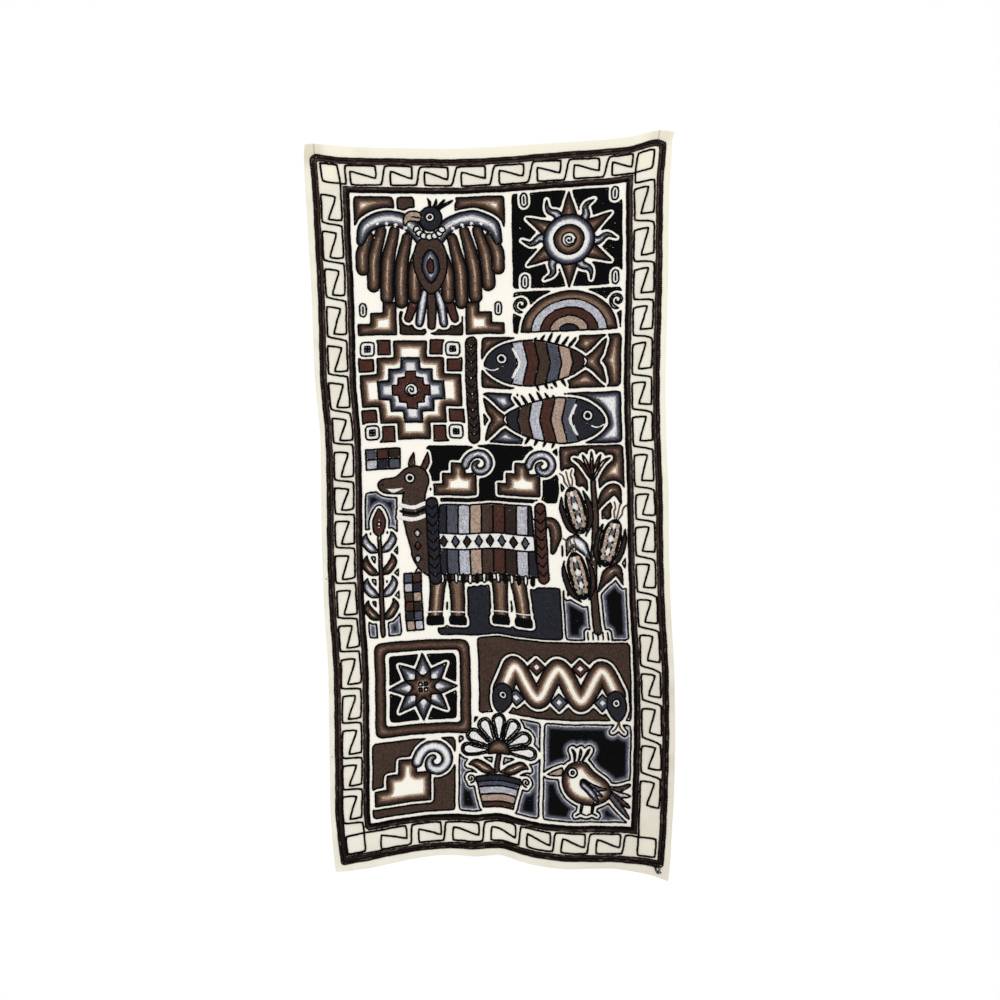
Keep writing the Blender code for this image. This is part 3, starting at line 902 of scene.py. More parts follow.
def sewSerpent(hoop):
    way = [(8, 84), (30, 34), (66, 96), (102, 30), (138, 96), (174, 34), (198, 78)]
    line = [way[0]]
    for here, there in zip(np.array(way), np.array(way)[1:]):
        line += [here * 0.82 + there * 0.18, here * 0.18 + there * 0.82]
    hoop.add(strand(line + [way[-1]], 17), "brownHalo")
    for k, (x, y) in enumerate(((31, 92), (66, 36), (102, 92), (138, 36), (174, 92))):
        diamond = cornered([(x - 15, y), (x, y - 15), (x + 15, y), (x, y + 15)], 1.0)
        hoop.add(diamond, ("slate", "russet")[k % 2])
        hoop.add(disc(x, y, 3.6), "bareWhite")
    for end in (hoop, hoop.mirrored(103)):
        head = curved([(-4, 118), (-10, 100), (-6, 80), (8, 70), (24, 78), (26, 98), (18, 114), (6, 124)])
        end.add(head, "charcoal")
        end.eye(9, 92, 9)
        end.line([(4, 122), (2, 132), (-5, 140)], "russet")
        end.line([(5, 122), (8, 132), (15, 139)], "russet")


def sewFlower(hoop):
    for k in range(7):
        angle = radians(-84 + 28 * k)
        tip = (52 * sin(angle), -52 * cos(angle))
        hoop.add(strand([(tip[0] * 0.3, tip[1] * 0.3), tip], 5.5, 13, smooth=False), "petal")
    hoop.add(within(disc(0, 0, 20), cornered([(-30, -30), (30, -30), (30, 6), (-30, 6)])), "brownShade")
    hoop.add(strand([(0, 8), (-3, 26), (0, 44)], 5), "olive")
    for side in (-1, 1):
        hoop.add(leaf([(0, 38), (side * 20, 30), (side * 38, 18), (side * 52, 22)], 9), "slimBrown")
        sewSpiral(hoop, side * 47, 44, 8, 1.5, start=pi / 2, clockwise=side)
    pot = cornered([(-34, 48), (34, 48), (24, 92), (-24, 92)], 4)
    hoop.add(pot, "line")
    for k, rows in enumerate(("slate", "silver", "tan", "russet")):
        hoop.add(within(block(-44, 44 + 13.2 * k, 88, 13.2 + sewing["outlineWidth"], 0.5), pot), rows)
    hoop.add(block(-40, 39, 80, 13, 4), "charcoal")


def sewFinch(hoop):
    for k, rows in enumerate(("olive", "silver", "russet", "slate")):
        hoop.add(strand([(84, 60), (108, 62 + 8 * k), (126, 54 + 17 * k)], 5, 6, 3.5), rows)
    body = curved([(16, 44), (28, 22), (52, 18), (68, 34), (92, 52), (96, 74), (72, 88), (42, 84), (22, 68)])
    hoop.add(body, "brownHalo")
    for k in range(3):
        wing = [(50, 50 + 2 * k), (66, 60 + 5 * k), (88 - 6 * k, 62 + 10 * k)]
        hoop.add(strand(wing, 6, 6.5, 2.5), "slimGrey")
    hoop.add(curved([(18, 28), (2, 34), (-8, 42), (4, 44), (18, 42)]), "tan")
    hoop.eye(33, 36, 9.5)
    for k in range(3):
        hoop.add(strand([(36 + 6 * k, 18), (36 + 10 * k, 6), (32 + 14 * k, 0)], 2.2, 3.3, 2.4), "line")
    for x in (50, 68):
        hoop.add(strand([(x, 84), (x - 2, 98)], 3.4, 2.8, smooth=False), "black")
        hoop.line([(x - 10, 103), (x - 2, 99), (x + 6, 103)], smooth=False)


def sewFillers(hoop):
    # small ordinary shapes in the gaps
    for x, y in ((14, 196), (234, 196), (424, 16), (278, 16), (424, 152), (278, 152)):
        sewRing(hoop.nested(x, y))
    for x in (272, 428):
        sewCoil(hoop.nested(x, 190), 13)


def drawField():
    # the whole picture field, from its upper left corner
    work = []
    hoop = Hoop(work, 0, 0)
    sewCondor(hoop.nested(6, 8))
    for corner in (hoop.nested(6, 238), hoop.nested(244, 238).mirrored(0)):
        sewSteps(corner, 62, 54, 3, "brownHalo")
    sewSun(hoop.nested(350, 86))
    sewArches(hoop.nested(350, 238), ("brownShade", "silver", "russet", "tan", "charcoal"))
    sewCross(hoop.nested(90, 332))
    sewBraid(hoop, (190, 252), (190, 414), 18, 12, "umber")
    sewFish(hoop.nested(308, 288), ("silver", "russet", "olive", "slate", "tan", "umber"))
    sewFish(hoop.nested(312, 384).mirrored(0), ("slate", "tan", "russet", "silver", "olive", "charcoal"))
    for k in range(2):
        sewScroll(hoop.nested(120 + 106 * k, 434))
    sewPlant(hoop.nested(28, 742), 214, 4)
    sewLlama(hoop.nested(12, 446))
    sewMaize(hoop.nested(338, 426))
    sewStar(hoop.nested(90, 834))
    sewSerpent(hoop.nested(214, 758))
    sewScroll(hoop.nested(10, 926, 0, 1.3))
    sewFlower(hoop.nested(216, 945))
    checkColours = ("slate", "tan", "russet", "silver", "umber", "charcoal", "olive")
    sewChecks(hoop.nested(6, 428), 3, 2, 19, 17, checkColours)
    sewChecks(hoop.nested(66, 640), 2, 6, 14, 16, checkColours)
    sewFinch(hoop.nested(304, 926, 0, 1.05))
    sewFillers(hoop)
    return sewnRows(work) + fillBetween(work)


# Border rows

border = {
    "outerRows": ["black", "band", "bandDark", "bandLight", "band"],
    # one more row inside the outer band, round the lower left corner only
    "shortRow": [(22.6, 1012.0), (22.6, 1174.4), (98.0, 1174.4)],
    "innerRows": ["band", "bandLight", "bandDark", "black"],
    "rowBend": 2.0,
    "innerShift": 0.5,  # how far inside its lane the inner band starts
    "innerTrim": 0.3,
    # how much of the outer band's corners is cut off, across and down
    "cornerCuts": {"leftTop": (7.0, 6.5), "rightTop": (13.0, 5.0), "rightBottom": (4.5, 4.0),
                   "leftBottom": (3.5, 3.5)},
    "innerCuts": {"leftTop": (0.5, 0.5), "rightTop": (0.5, 0.5), "rightBottom": (0.5, 0.5),
                  "leftBottom": (4.0, 4.0)},
    "leastCut": 0.5,
    # how far two of the outer corners lie off the straight, and where the level side starts to run there
    "cornerShifts": {"rightTop": (0.5, -0.8), "rightBottom": (-0.5, -5.2)},
    "runIn": 52.0,
    "lineInset": 2.1,  # from the lane's edge to the middle of the key line
    # where each repeat of the key starts along its side, and where the last one ends
    "keyStarts": {
        "left": [73.1, 133.5, 195.8, 257.8, 323.0, 384.2, 443.9, 497.3, 558.6, 613.5, 669.3,
                 727.8, 786.5, 840.7, 902.1, 958.9, 1016.9, 1067.9, 1124.1],
        "right": [82.7, 149.5, 214.8, 275.4, 334.4, 398.7, 454.1, 514.1, 579.9, 632.0, 692.4, 750.3,
                  806.6, 871.3, 925.4, 987.6, 1042.5, 1103.8],
        "top": [64.4, 127.8, 182.4, 239.6, 299.5, 360.1, 417.4, 479.5, 529.7],
        "bottom": [70.7, 136.3, 193.4, 260.4, 322.6, 380.9, 439.4, 500.9],
    },
    # yarn ends, from the outer band's lower right corner
    "looseEnds": [[(-14.2, -5.4), (-12.4, -0.9), (-10.1, 2.2), (-7.5, 5.0)],
                  [(-10.8, -5.6), (-10.5, -0.9), (-8.1, 1.7), (-5.8, 5.1)],
                  [(-7.3, -6.3), (-6.7, -1.7), (-4.8, 0.1), (-2.6, 1.8)],
                  [(-5.1, -6.2), (-5.0, -2.0), (-6.3, 1.6), (-4.7, 3.9)],
                  [(-13.0, -4.5), (-10.0, -0.8), (-6.8, -0.2), (-2.4, -0.4)]],
    # along and across the lane: left to right on an upright side, bottom to top on a level one
    "wideKey": [(0.00, 1.00), (0.86, 1.00), (0.86, 0.31), (0.20, 0.75), (0.17, 0.00), (0.94, 0.00)],
    "slimKey": [(0.00, 1.00), (0.78, 1.00), (0.77, 0.33), (0.13, 0.73), (0.13, 0.00), (0.90, 0.00)],
    "keyShapes": {"left": "wideKey", "right": "slimKey", "top": "slimKey", "bottom": "wideKey"},
    # how unevenly the key's corners lie, and how far the line leads past a corner square to its first key:
    # at the two upper squares, and at the two lower ones
    "uneven": 0.45,
    "leads": (1, 3),
    # the corner squares lean a little, each its own way: corners from the middle of the lane's corner, from
    # the upper left one round to the lower left one
    "squares": {("left", "top"): [(-14.0, -15.9), (13.2, -16.2), (16.0, 15.4), (-12.2, 13.9)],
                ("right", "top"): [(-13.5, -14.2), (12.4, -14.4), (10.6, 16.2), (-16.2, 16.2)],
                ("left", "bottom"): [(-15.0, -16.2), (16.2, -16.2), (16.2, 13.4), (-15.8, 13.4)],
                ("right", "bottom"): [(-16.2, -15.6), (13.8, -19.2), (13.6, 10.6), (-16.0, 14.1)]},
    "bend": 3.4,
    "bendSteps": 4,
    "longestBend": 0.45,  # share of a straight stretch that a rounded corner may take
    "seed": 7,
}


def bentLine(points, cut, closed=False):
    # a line with its corners rounded
    points = [np.array(p, float) for p in points]
    count = len(points)
    line = []
    for k, point in enumerate(points):
        if not closed and k in (0, count - 1):
            line.append(point)
            continue
        before, after = points[k - 1], points[(k + 1) % count]
        inward, onward = before - point, after - point
        start = point + inward * min(cut / np.hypot(*inward), border["longestBend"])
        end = point + onward * min(cut / np.hypot(*onward), border["longestBend"])
        for t in np.linspace(0, 1, border["bendSteps"] + 1):
            line.append(start * (1 - t) ** 2 + 2 * point * t * (1 - t) + end * t**2)
    return np.array(line)


def bandRows(margin, width, colours, cuts, shifts):
    # closed rows round the cloth, from the outer edge of a band inwards
    pitch = width / len(colours)
    rows = []
    for k, yarn in enumerate(colours):
        inset = margin + pitch * (k + 0.5)
        left, top = layout["left"] + inset, layout["top"] + inset
        right = hanging["width"] / mm - layout["right"] - inset
        bottom = hanging["length"] / mm - layout["bottom"] - inset
        corners = []
        for name, x, y, inX, inY in (("leftTop", left, top, 1, 1), ("rightTop", right, top, -1, 1),
                                     ("rightBottom", right, bottom, -1, -1),
                                     ("leftBottom", left, bottom, 1, -1)):
            cutX, cutY = (max(cut - pitch * k / 2, border["leastCut"]) for cut in cuts[name])
            aside, below = shifts.get(name, (0.0, 0.0))
            ends = [(x + aside, y + inY * cutY + below), (x + inX * cutX + aside, y + below),
                    (x + inX * border["runIn"], y)]
            corners += ends if inX == inY else ends[::-1]
        rows.append(Row(bentLine(corners, border["rowBend"], closed=True), yarn, True))
    return rows


def looseEnds():
    # the band's yarn ends, knotted off at the lower right corner and frayed below it
    x = hanging["width"] / mm - layout["right"]
    y = hanging["length"] / mm - layout["bottom"]
    lines = [smoothLine([(x + aside, y + below) for aside, below in end]) for end in border["looseEnds"]]
    return [Row(line, "black", False) for line in lines]


def laneStarts():
    # where the key lane starts on each side, from the cloth's left and top edge
    outer = layout["outerBand"]
    return {
        "left": layout["left"] + outer,
        "right": hanging["width"] / mm - layout["right"] - outer - layout["keyLane"],
        "top": layout["top"] + outer,
        "bottom": hanging["length"] / mm - layout["bottom"] - outer - layout["keyLane"],
    }


def keyRun(side, uneven):
    # the key pattern's corner points along one side
    starts, lane = laneStarts(), layout["keyLane"]
    upright = side in ("left", "right")
    room = lane - 2 * border["lineInset"]
    points = []
    for first, following in zip(border["keyStarts"][side], border["keyStarts"][side][1:]):
        for share, across in border[border["keyShapes"][side]]:
            run = first + share * (following - first)
            offset = starts[side] + border["lineInset"] + room * (across if upright else 1 - across)
            point = np.array([offset, run] if upright else [run, offset])
            points.append(point + uneven.normal(0, border["uneven"], 2))
    return points


def cornerSquare(sideAcross, sideDown):
    # the corners of a corner square, from the upper left one round to the lower left one
    starts, half = laneStarts(), layout["keyLane"] / 2
    middle = np.array([starts[sideAcross] + half, starts[sideDown] + half])
    return [middle + corner for corner in border["squares"][sideAcross, sideDown]]


def keyLine():
    # one line that runs round the whole lane and crosses itself at each corner square
    uneven = np.random.default_rng(border["seed"])
    runs = {side: keyRun(side, uneven) for side in ("left", "top", "right", "bottom")}
    near, far = border["leads"]
    upLeft, upRight, downRight, downLeft = cornerSquare("left", "top")
    line = [downRight, upRight, upLeft, downLeft, downRight]
    line += [(runs["top"][0][0] + near, downRight[1] + near)] + runs["top"]
    upLeft, upRight, downRight, downLeft = cornerSquare("right", "top")
    line += [downLeft, downRight, upRight, upLeft, downLeft, (downLeft[0] + near, runs["right"][0][1])]
    line += runs["right"]
    upLeft, upRight, downRight, downLeft = cornerSquare("right", "bottom")
    # the last repeat's near side runs straight on to the corner
    line[-1] = upLeft
    line += [downLeft, downRight, upRight, upLeft, (runs["bottom"][-1][0] + far, upLeft[1])]
    line += runs["bottom"][::-1]
    upLeft, upRight, downRight, downLeft = cornerSquare("left", "bottom")
    line[-1] = upRight
    line += [upLeft, downLeft, downRight, upRight, (upRight[0], runs["left"][-1][1] + far)]
    line += runs["left"][::-1]
    return Row(bentLine(line[:-1], border["bend"], closed=True), "black", True)


# Sewn pieces

yarnColours = {
    "black": (6, 5, 6),
    "jet": (8, 8, 10),
    "band": (45, 32, 29),
    "bandDark": (15, 10, 9),
    "bandLight": (66, 51, 47),
    "umber": (48, 36, 31),
    "brown": (68, 51, 43),
    "chestnut": (93, 71, 58),
    "caramel": (125, 102, 85),
    "tan": (184, 162, 142),
    "sand": (168, 146, 130),
    "olive": (68, 53, 45),
    "russet": (73, 44, 38),
    "charcoal": (38, 38, 46),
    "slate": (77, 79, 90),
    "grey": (97, 98, 108),
    "silver": (181, 181, 189),
    "white": (229, 228, 226),
}

# Every sewn piece: its yarns, how far apart and thick its stitches are in mm, how far the two loops of a
# stitch stand apart (one loop when 0), half of a loop's length as a share of the pitch, how far its middle
# stands off the cloth's back, how many rings its mesh has, how much it varies, and whether it lies on the
# back
Sewing = namedtuple("Sewing", "name yarns pitch thick flat spread length lift rings uneven seed slot back")

plainStitch = {"yarns": None, "spread": 0.0, "length": 0.84, "lift": 2.15, "rings": 3, "back": False,
               "slot": "laid_yarn"}
chainStitch = dict(plainStitch, pitch=6.0, thick=1.12, flat=0.85, spread=0.74, lift=2.3, uneven=0.08)
bandStitch = dict(plainStitch, pitch=7.0, thick=0.82, flat=1.15, spread=0.56, lift=2.10, uneven=0.08,
                  slot="band_yarn")
edgeStitch = dict(plainStitch, pitch=3.3, thick=1.90, flat=0.66, length=0.58, uneven=0.06, slot="band_yarn")
stemStitch = dict(plainStitch, pitch=sewing["fillPitch"], thick=1.80, flat=0.60, lift=1.95, uneven=0.09)
outlineStitch = dict(stemStitch, yarns=("black",), thick=1.88, flat=0.68, lift=2.1)
looseStitch = dict(plainStitch, pitch=2.4, thick=0.64, flat=0.90, length=0.95, lift=2.9, uneven=0.10)
backStitch = dict(plainStitch, pitch=9.0, thick=0.55, flat=0.70, length=0.40, lift=0.45, rings=2,
                  uneven=0.16, back=True)

sewnPieces = [
    Sewing("edgeRow", seed=10, **edgeStitch),
    Sewing("outerBandRows", seed=11, **bandStitch),
    Sewing("innerBandRows", seed=12, **dict(bandStitch, thick=0.98, spread=0.70)),
    Sewing("keyLine", seed=13, **chainStitch),
    Sewing("looseEnds", seed=21, **looseStitch),
    Sewing("upperOutlines", seed=14, **outlineStitch),
    Sewing("lowerOutlines", seed=15, **outlineStitch),
] + [Sewing(name, seed=seed, **dict(stemStitch, yarns=yarns)) for name, seed, *yarns in (
    ("blackRows", 22, "jet"),
    ("brownRows", 16, "umber", "brown", "chestnut", "caramel", "tan"),
    ("greyRows", 17, "charcoal", "slate", "grey", "silver"),
    ("oliveRows", 18, "olive"),
    ("russetRows", 19, "russet"),
    ("sandRows", 20, "sand"),
    ("whiteRows", 21, "white"),
)] + [Sewing("backStitches", seed=31, **backStitch)]

fieldCorner = np.array([69.0, 77.5])

# How far rows sewn by hand wander, and over what length. The long wave's rate and its bend, then the short
# wave's rate and slant, are given for the way aside and the way down.
handSway = {"reach": 0.28, "wave": 17.0, "aside": (2.1, 1.3, 5.3, 1), "down": (1.9, 1.7, 4.7, -1)}


def linear(colour):
    # a colour of 0 to 255 as the shader's values
    shares = np.array(colour, float) / 255
    return (*np.where(shares <= 0.04045, shares / 12.92, ((shares + 0.055) / 1.055) ** 2.4), 1.0)


def swayed(places):
    x, y = places.T / handSway["wave"]
    moves = []
    for onward, aside, (rate, bend, fine, slant) in ((y, x, handSway["aside"]), (x, y, handSway["down"])):
        long, short = rate * onward + bend * np.sin(aside), fine * onward + slant * aside
        moves.append(np.sin(long) + 0.5 * np.sin(short))
    return places + handSway["reach"] * np.stack(moves, axis=-1)


def stitchPlaces(piece, rows):
    # a mesh of one point for each stitch, with the way it runs and its colour
    places = [swayed(stitchMarks(row, piece.pitch)) for row in rows]
    counts = [len(place) - 1 for place in places]
    flat = np.vstack(places) * mm
    points, facing = onCloth(flat[:, 0], flat[:, 1], np.full(len(flat), piece.lift * mm))
    firsts = np.cumsum([0] + [n + 1 for n in counts[:-1]])
    starts = np.concatenate([np.arange(n) + first for n, first in zip(counts, firsts)])
    along = points[starts + 1] - points[starts]
    span = np.linalg.norm(along, axis=1)
    outward = (facing[starts] + facing[starts + 1]) / 2 * (-1 if piece.back else 1)
    colours = np.vstack([np.tile(linear(yarnColours[row.yarn]), (n, 1)) for row, n in zip(rows, counts)])
    mesh = bpy.data.meshes.new(piece.name + "Places")
    mesh.vertices.add(len(starts))
    mesh.vertices.foreach_set("co", ((points[starts] + points[starts + 1]) / 2).ravel())
    along = along / np.maximum(span, 1e-9)[:, None]
    for title, kind, field, values in (("along", "FLOAT_VECTOR", "vector", along),
                                       ("outward", "FLOAT_VECTOR", "vector", outward),
                                       ("span", "FLOAT", "value", span),
                                       ("yarnColour", "FLOAT_COLOR", "color", colours)):
        mesh.attributes.new(title, kind, "POINT").data.foreach_set(field, np.ravel(values))
    return mesh


def operators(operation):
    # what a sum does with an output on its left and on its right
    return (lambda self, value: self.graph.maths(operation, self, value),
            lambda self, value: self.graph.maths(operation, value, self))


class Output:
    # an output of a node, on which sums can be done

    def __init__(self, graph, node, socket):
        self.graph, self.node, self.socket = graph, node, socket

    def other(self, name):
        return Output(self.graph, self.node, self.graph.pick(self.node.outputs, name))

    __add__, __radd__ = operators("ADD")
    __sub__, __rsub__ = operators("SUBTRACT")
    __mul__, __rmul__ = operators("MULTIPLY")
    __truediv__, __rtruediv__ = operators("DIVIDE")
    __pow__, __rpow__ = operators("POWER")


class Graph:
    # adds nodes to a node tree

    def __init__(self, tree):
        self.tree = tree
        tree.nodes.clear()

    def pick(self, sockets, key):
        usable = [socket for socket in sockets if socket.enabled]
        if isinstance(key, int):
            return usable[key]
        return next(socket for socket in usable if socket.name == key)

    def add(self, kind, settings=None, values=None, output=0):
        # settings first, because they decide which sockets there are
        node = self.tree.nodes.new(kind)
        for name, setting in (settings or {}).items():
            setattr(node, name, setting)
        for key, value in (values or {}).items():
            target = self.pick(node.inputs, key)
            if isinstance(value, (list, Output)):
                for item in value if isinstance(value, list) else [value]:
                    self.tree.links.new(item.socket, target)
            else:
                target.default_value = value
        found = self.pick(node.outputs, output) if len(node.outputs) else None
        return Output(self, node, found)

    def maths(self, operation, *values):
        return self.add("ShaderNodeMath", {"operation": operation}, dict(enumerate(values)))

    def smooth(self, value, low, high):
        # 0 below the low value, 1 above the high one
        return self.add("ShaderNodeMapRange", {"interpolation_type": "SMOOTHSTEP"},
                        {"Value": value, "From Min": low, "From Max": high})

    def mixed(self, share, first, second, blend="MIX"):
        return self.add("ShaderNodeMix", {"data_type": "RGBA", "blend_type": blend},
                        {"Factor": share, "A": first, "B": second})

    def vector(self, x, y, z):
        return self.add("ShaderNodeCombineXYZ", {}, {"X": x, "Y": y, "Z": z})

    def noise(self, place, scale, detail):
        return self.add("ShaderNodeTexNoise", {}, {"Vector": place, "Scale": scale, "Detail": detail})

    def flatMap(self, name):
        return self.add("ShaderNodeSeparateXYZ", {}, {0: self.add("ShaderNodeUVMap", {"uv_map": name})})

    def stored(self, name, output="Fac"):
        # what a mesh keeps under a name
        return self.add("ShaderNodeAttribute", {"attribute_name": name}, output=output)


# How far a stitch leans each way, for each part of unevenness
stitchLean = (1.3, 0.5, 4.0)


def stitchTree():
    # a Geometry Nodes tree that sets a stitch on every point of a mesh
    tree = bpy.data.node_groups.new("sewStitches", "GeometryNodeTree")
    for name, kind in (("Places", "Geometry"), ("Thickness", "Float"), ("Flatness", "Float"),
                       ("Spread", "Float"), ("Length", "Float"), ("Rings", "Int"), ("Unevenness", "Float"),
                       ("Seed", "Int"), ("Material", "Material")):
        tree.interface.new_socket(name=name, in_out="INPUT", socket_type="NodeSocket" + kind)
    tree.interface.new_socket(name="Stitches", in_out="OUTPUT", socket_type="NodeSocketGeometry")
    graph = Graph(tree)
    given = graph.add("NodeGroupInput").other
    thick, spread, uneven, seed = given("Thickness"), given("Spread"), given("Unevenness"), given("Seed")

    def kept(name, kind):
        return graph.add("GeometryNodeInputNamedAttribute", {"data_type": kind}, {"Name": name})

    def varied(kind, low, high, seed):
        return graph.add("FunctionNodeRandomValue", {"data_type": kind},
                         {"Min": low, "Max": high, "Seed": seed})

    # one loop of yarn, a spindle as long as a stitch with a little overlap
    spindle = graph.add("GeometryNodeMeshUVSphere", {},
                        {"Segments": 4, "Rings": given("Rings"), "Radius": 1.0})
    marked = graph.add("GeometryNodeStoreNamedAttribute", {"data_type": "FLOAT2", "domain": "CORNER"},
                       {"Geometry": spindle, "Name": "strandPlace", "Value": spindle.other("UV Map")})
    size = graph.vector(thick * given("Flatness"), thick, given("Length"))
    sized = graph.add("GeometryNodeTransform", {}, {"Geometry": marked, "Scale": size})
    loops = []
    for side in (-1, 1):
        aside = graph.vector(0.0, spread * (0.5 * side), 0.0)
        loops.append(graph.add("GeometryNodeTransform", {}, {"Geometry": sized, "Translation": aside}))
    pair = graph.add("GeometryNodeJoinGeometry", {}, {"Geometry": loops[::-1]})
    single = graph.add("FunctionNodeCompare", {"data_type": "FLOAT", "operation": "LESS_THAN"},
                       {"A": spread, "B": 0.00001})
    stitch = graph.add("GeometryNodeSwitch", {"input_type": "GEOMETRY"},
                       {"Switch": single, "False": pair, "True": sized})

    # each is turned along its row, and no two are quite alike
    turned = graph.add("FunctionNodeAxesToRotation", {"primary_axis": "Z", "secondary_axis": "X"},
                       {"Primary Axis": kept("along", "FLOAT_VECTOR"),
                        "Secondary Axis": kept("outward", "FLOAT_VECTOR")})
    low, high = (graph.vector(*(uneven * (sign * lean) for lean in stitchLean)) for sign in (-1, 1))
    leaning = graph.add("FunctionNodeEulerToRotation", {}, {0: varied("FLOAT_VECTOR", low, high, seed)})
    turned = graph.add("FunctionNodeRotateRotation", {"rotation_space": "LOCAL"},
                       {"Rotation": turned, "Rotate By": leaning})
    fatness = varied("FLOAT", 1.0 - uneven, 1.0 + uneven, seed + 1)
    scale = graph.vector(fatness, fatness, kept("span", "FLOAT"))
    toned = graph.add("GeometryNodeStoreNamedAttribute", {"data_type": "FLOAT", "domain": "POINT"},
                      {"Geometry": given("Places"), "Name": "stitchTone",
                       "Value": varied("FLOAT", 0.0, 1.0, seed + 2)})
    copies = graph.add("GeometryNodeInstanceOnPoints", {},
                       {"Points": toned, "Instance": stitch, "Rotation": turned, "Scale": scale})
    real = graph.add("GeometryNodeRealizeInstances", {}, {"Geometry": copies})
    smooth = graph.add("GeometryNodeSetShadeSmooth", {}, {0: real})
    finished = graph.add("GeometryNodeSetMaterial", {}, {"Geometry": smooth, "Material": given("Material")})
    graph.add("NodeGroupOutput", {}, {"Stitches": finished})
    return tree


def putIn(piece):
    bpy.context.scene.collection.objects.link(piece)
    return piece


def sewn(piece, rows, tree, material):
    # the rows of one piece as stitches of real yarn
    carrier = putIn(bpy.data.objects.new(piece.name, stitchPlaces(piece, rows)))
    modifier = carrier.modifiers.new("sewStitches", "NODES")
    modifier.node_group = tree
    inputs = {"Thickness": piece.thick * mm, "Flatness": piece.flat, "Spread": 2 * piece.spread * mm,
              "Length": piece.length, "Rings": piece.rings, "Unevenness": piece.uneven, "Seed": piece.seed,
              "Material": material}
    for item in tree.interface.items_tree:
        if item.in_out == "INPUT" and item.name in inputs:
            modifier[item.identifier] = inputs[item.name]
    evaluated = carrier.evaluated_get(bpy.context.evaluated_depsgraph_get())
    mesh = bpy.data.meshes.new_from_object(evaluated, preserve_all_data_layers=True,
                                           depsgraph=bpy.context.evaluated_depsgraph_get())
    places = carrier.data
    carrier.modifiers.clear()
    carrier.data = mesh
    bpy.data.meshes.remove(places)
    mesh.name = piece.name
    for title in ("along", "outward", "span"):
        if title in mesh.attributes:
            mesh.attributes.remove(mesh.attributes[title])
    return carrier


# Ground cloth

cloth = {
    "step": 7.0,
    "edgeLines": [0.0, 0.5, 1.4, 3.5, 7.0, 10.0, 14.0, 19.0, 23.0, 24.5, 26.0],
    # how far in the hem's fold ends and over what width, and where the front rises under the bands
    "hemEnd": (22.5, 2.0),
    "bandStart": (9.0, 5.0),
    "edgeRound": 1.4,
    "edgeThick": 0.25,  # share of the thickness at the very edge
    "hemFront": 2.1,
    "hemBack": 0.0,
    "front": 1.5,
    "back": 0.7,
    "sheen": 0.12,
    "sheenRoughness": 0.6,
    "specular": 0.25,
    "roughness": (0.86, 0.10),
    "weavePitch": 1.15,
    "weaveTurn": 0.6,
    "weaveUnder": 0.65,  # how much of a thread is lost where it passes under
    # scale across and down, and detail: slubs in the warp and the weft, mottle and fuzz
    "noises": [(0.85, 0.018, 2.0), (0.016, 0.85, 2.0), (0.022, 0.022, 4.0), (2.6, 2.6, 2.0)],
    # how light a thread is, and how much the weave, the slubs and the fuzz change that
    "threadTone": (0.955, 0.035, 0.08, 0.06),
    # how far the weave, the slubs and the fuzz rise, and how strongly and deeply it all shows
    "rise": (0.9, 1.2, 0.5),
    "bump": (0.35, 0.00022),
    # where each change of tone starts and ends, and how much of it there is
    "zones": {"mottle": (0.35, 0.65), "hem": (-2.0, 2.0), "hemDown": (300.0, 1250.0),
              "leftHem": (12.0, 30.0), "leftHemDown": (14.0, 24.0), "field": (60.0, 72.0),
              "shadeAcross": (250.0, 560.0), "shadeDown": (450.0, 1050.0)},
    "shares": {"hemTop": 0.9, "hemDown": 0.8, "leftHem": 0.65, "field": 0.95, "paintedShade": 0.42},
    "cream": (225, 220, 204),
    "paleCream": (232, 228, 215),
    "hemCream": (237, 232, 214),
    # the field's own paler ground, lifted further as painted light against the shade of the yarn round it
    "fieldCreamAndLight": (243, 239, 229),
    # painted shade for the lower right of the cloth
    "shadeCream": (202, 196, 180),
    "stain": (120, 84, 48),
    "yellowed": (239, 235, 209),
    # the darkCorner marks make the two upper corners of the cloth darker
    "darkCorner": (194, 184, 157),
    # across, down, radius and strength of each mark, and its colour
    "marks": [(7.0, 716.0, 2.4, 0.75, "stain"), (4.5, 1008.0, 2.0, 0.70, "stain"),
              (9.0, 1012.0, 4.0, 0.12, "stain"), (575.0, 780.0, 26.0, 0.06, "stain"),
              (577.0, 905.0, 34.0, 0.07, "stain"), (576.0, 1010.0, 22.0, 0.08, "stain"),
              (4.0, 330.0, 14.0, 0.07, "stain"), (300.0, 1192.0, 26.0, 0.08, "stain"),
              (92.0, 6.0, 20.0, 0.05, "stain"), (38.0, 46.0, 30.0, 0.55, "yellowed"),
              (544.0, 46.0, 30.0, 0.45, "yellowed"), (544.0, 1152.0, 24.0, 0.30, "yellowed"),
              (8.0, 16.0, 36.0, 0.50, "darkCorner"), (560.0, 8.0, 30.0, 0.35, "darkCorner")],
    "markCore": 0.35,  # share of a mark's radius that is evenly strong
    "markRagged": 0.9,
    # across, half width and strength
    "pencilLines": [(18.5, 0.6, 0.45), (555.9, 0.45, 0.55)],
    "pencil": (96, 84, 80),
    "pencilBlur": 0.6,
    "pencilEnd": (18.5, 19.5),
}


def gridLines(size, step):
    # close lines near both edges, even ones between
    edge = cloth["edgeLines"]
    count = round((size - 2 * edge[-1]) / step)
    middle = np.linspace(edge[-1], size - edge[-1], count + 1)
    return np.concatenate([edge[:-1], middle, [size - e for e in reversed(edge[:-1])]])


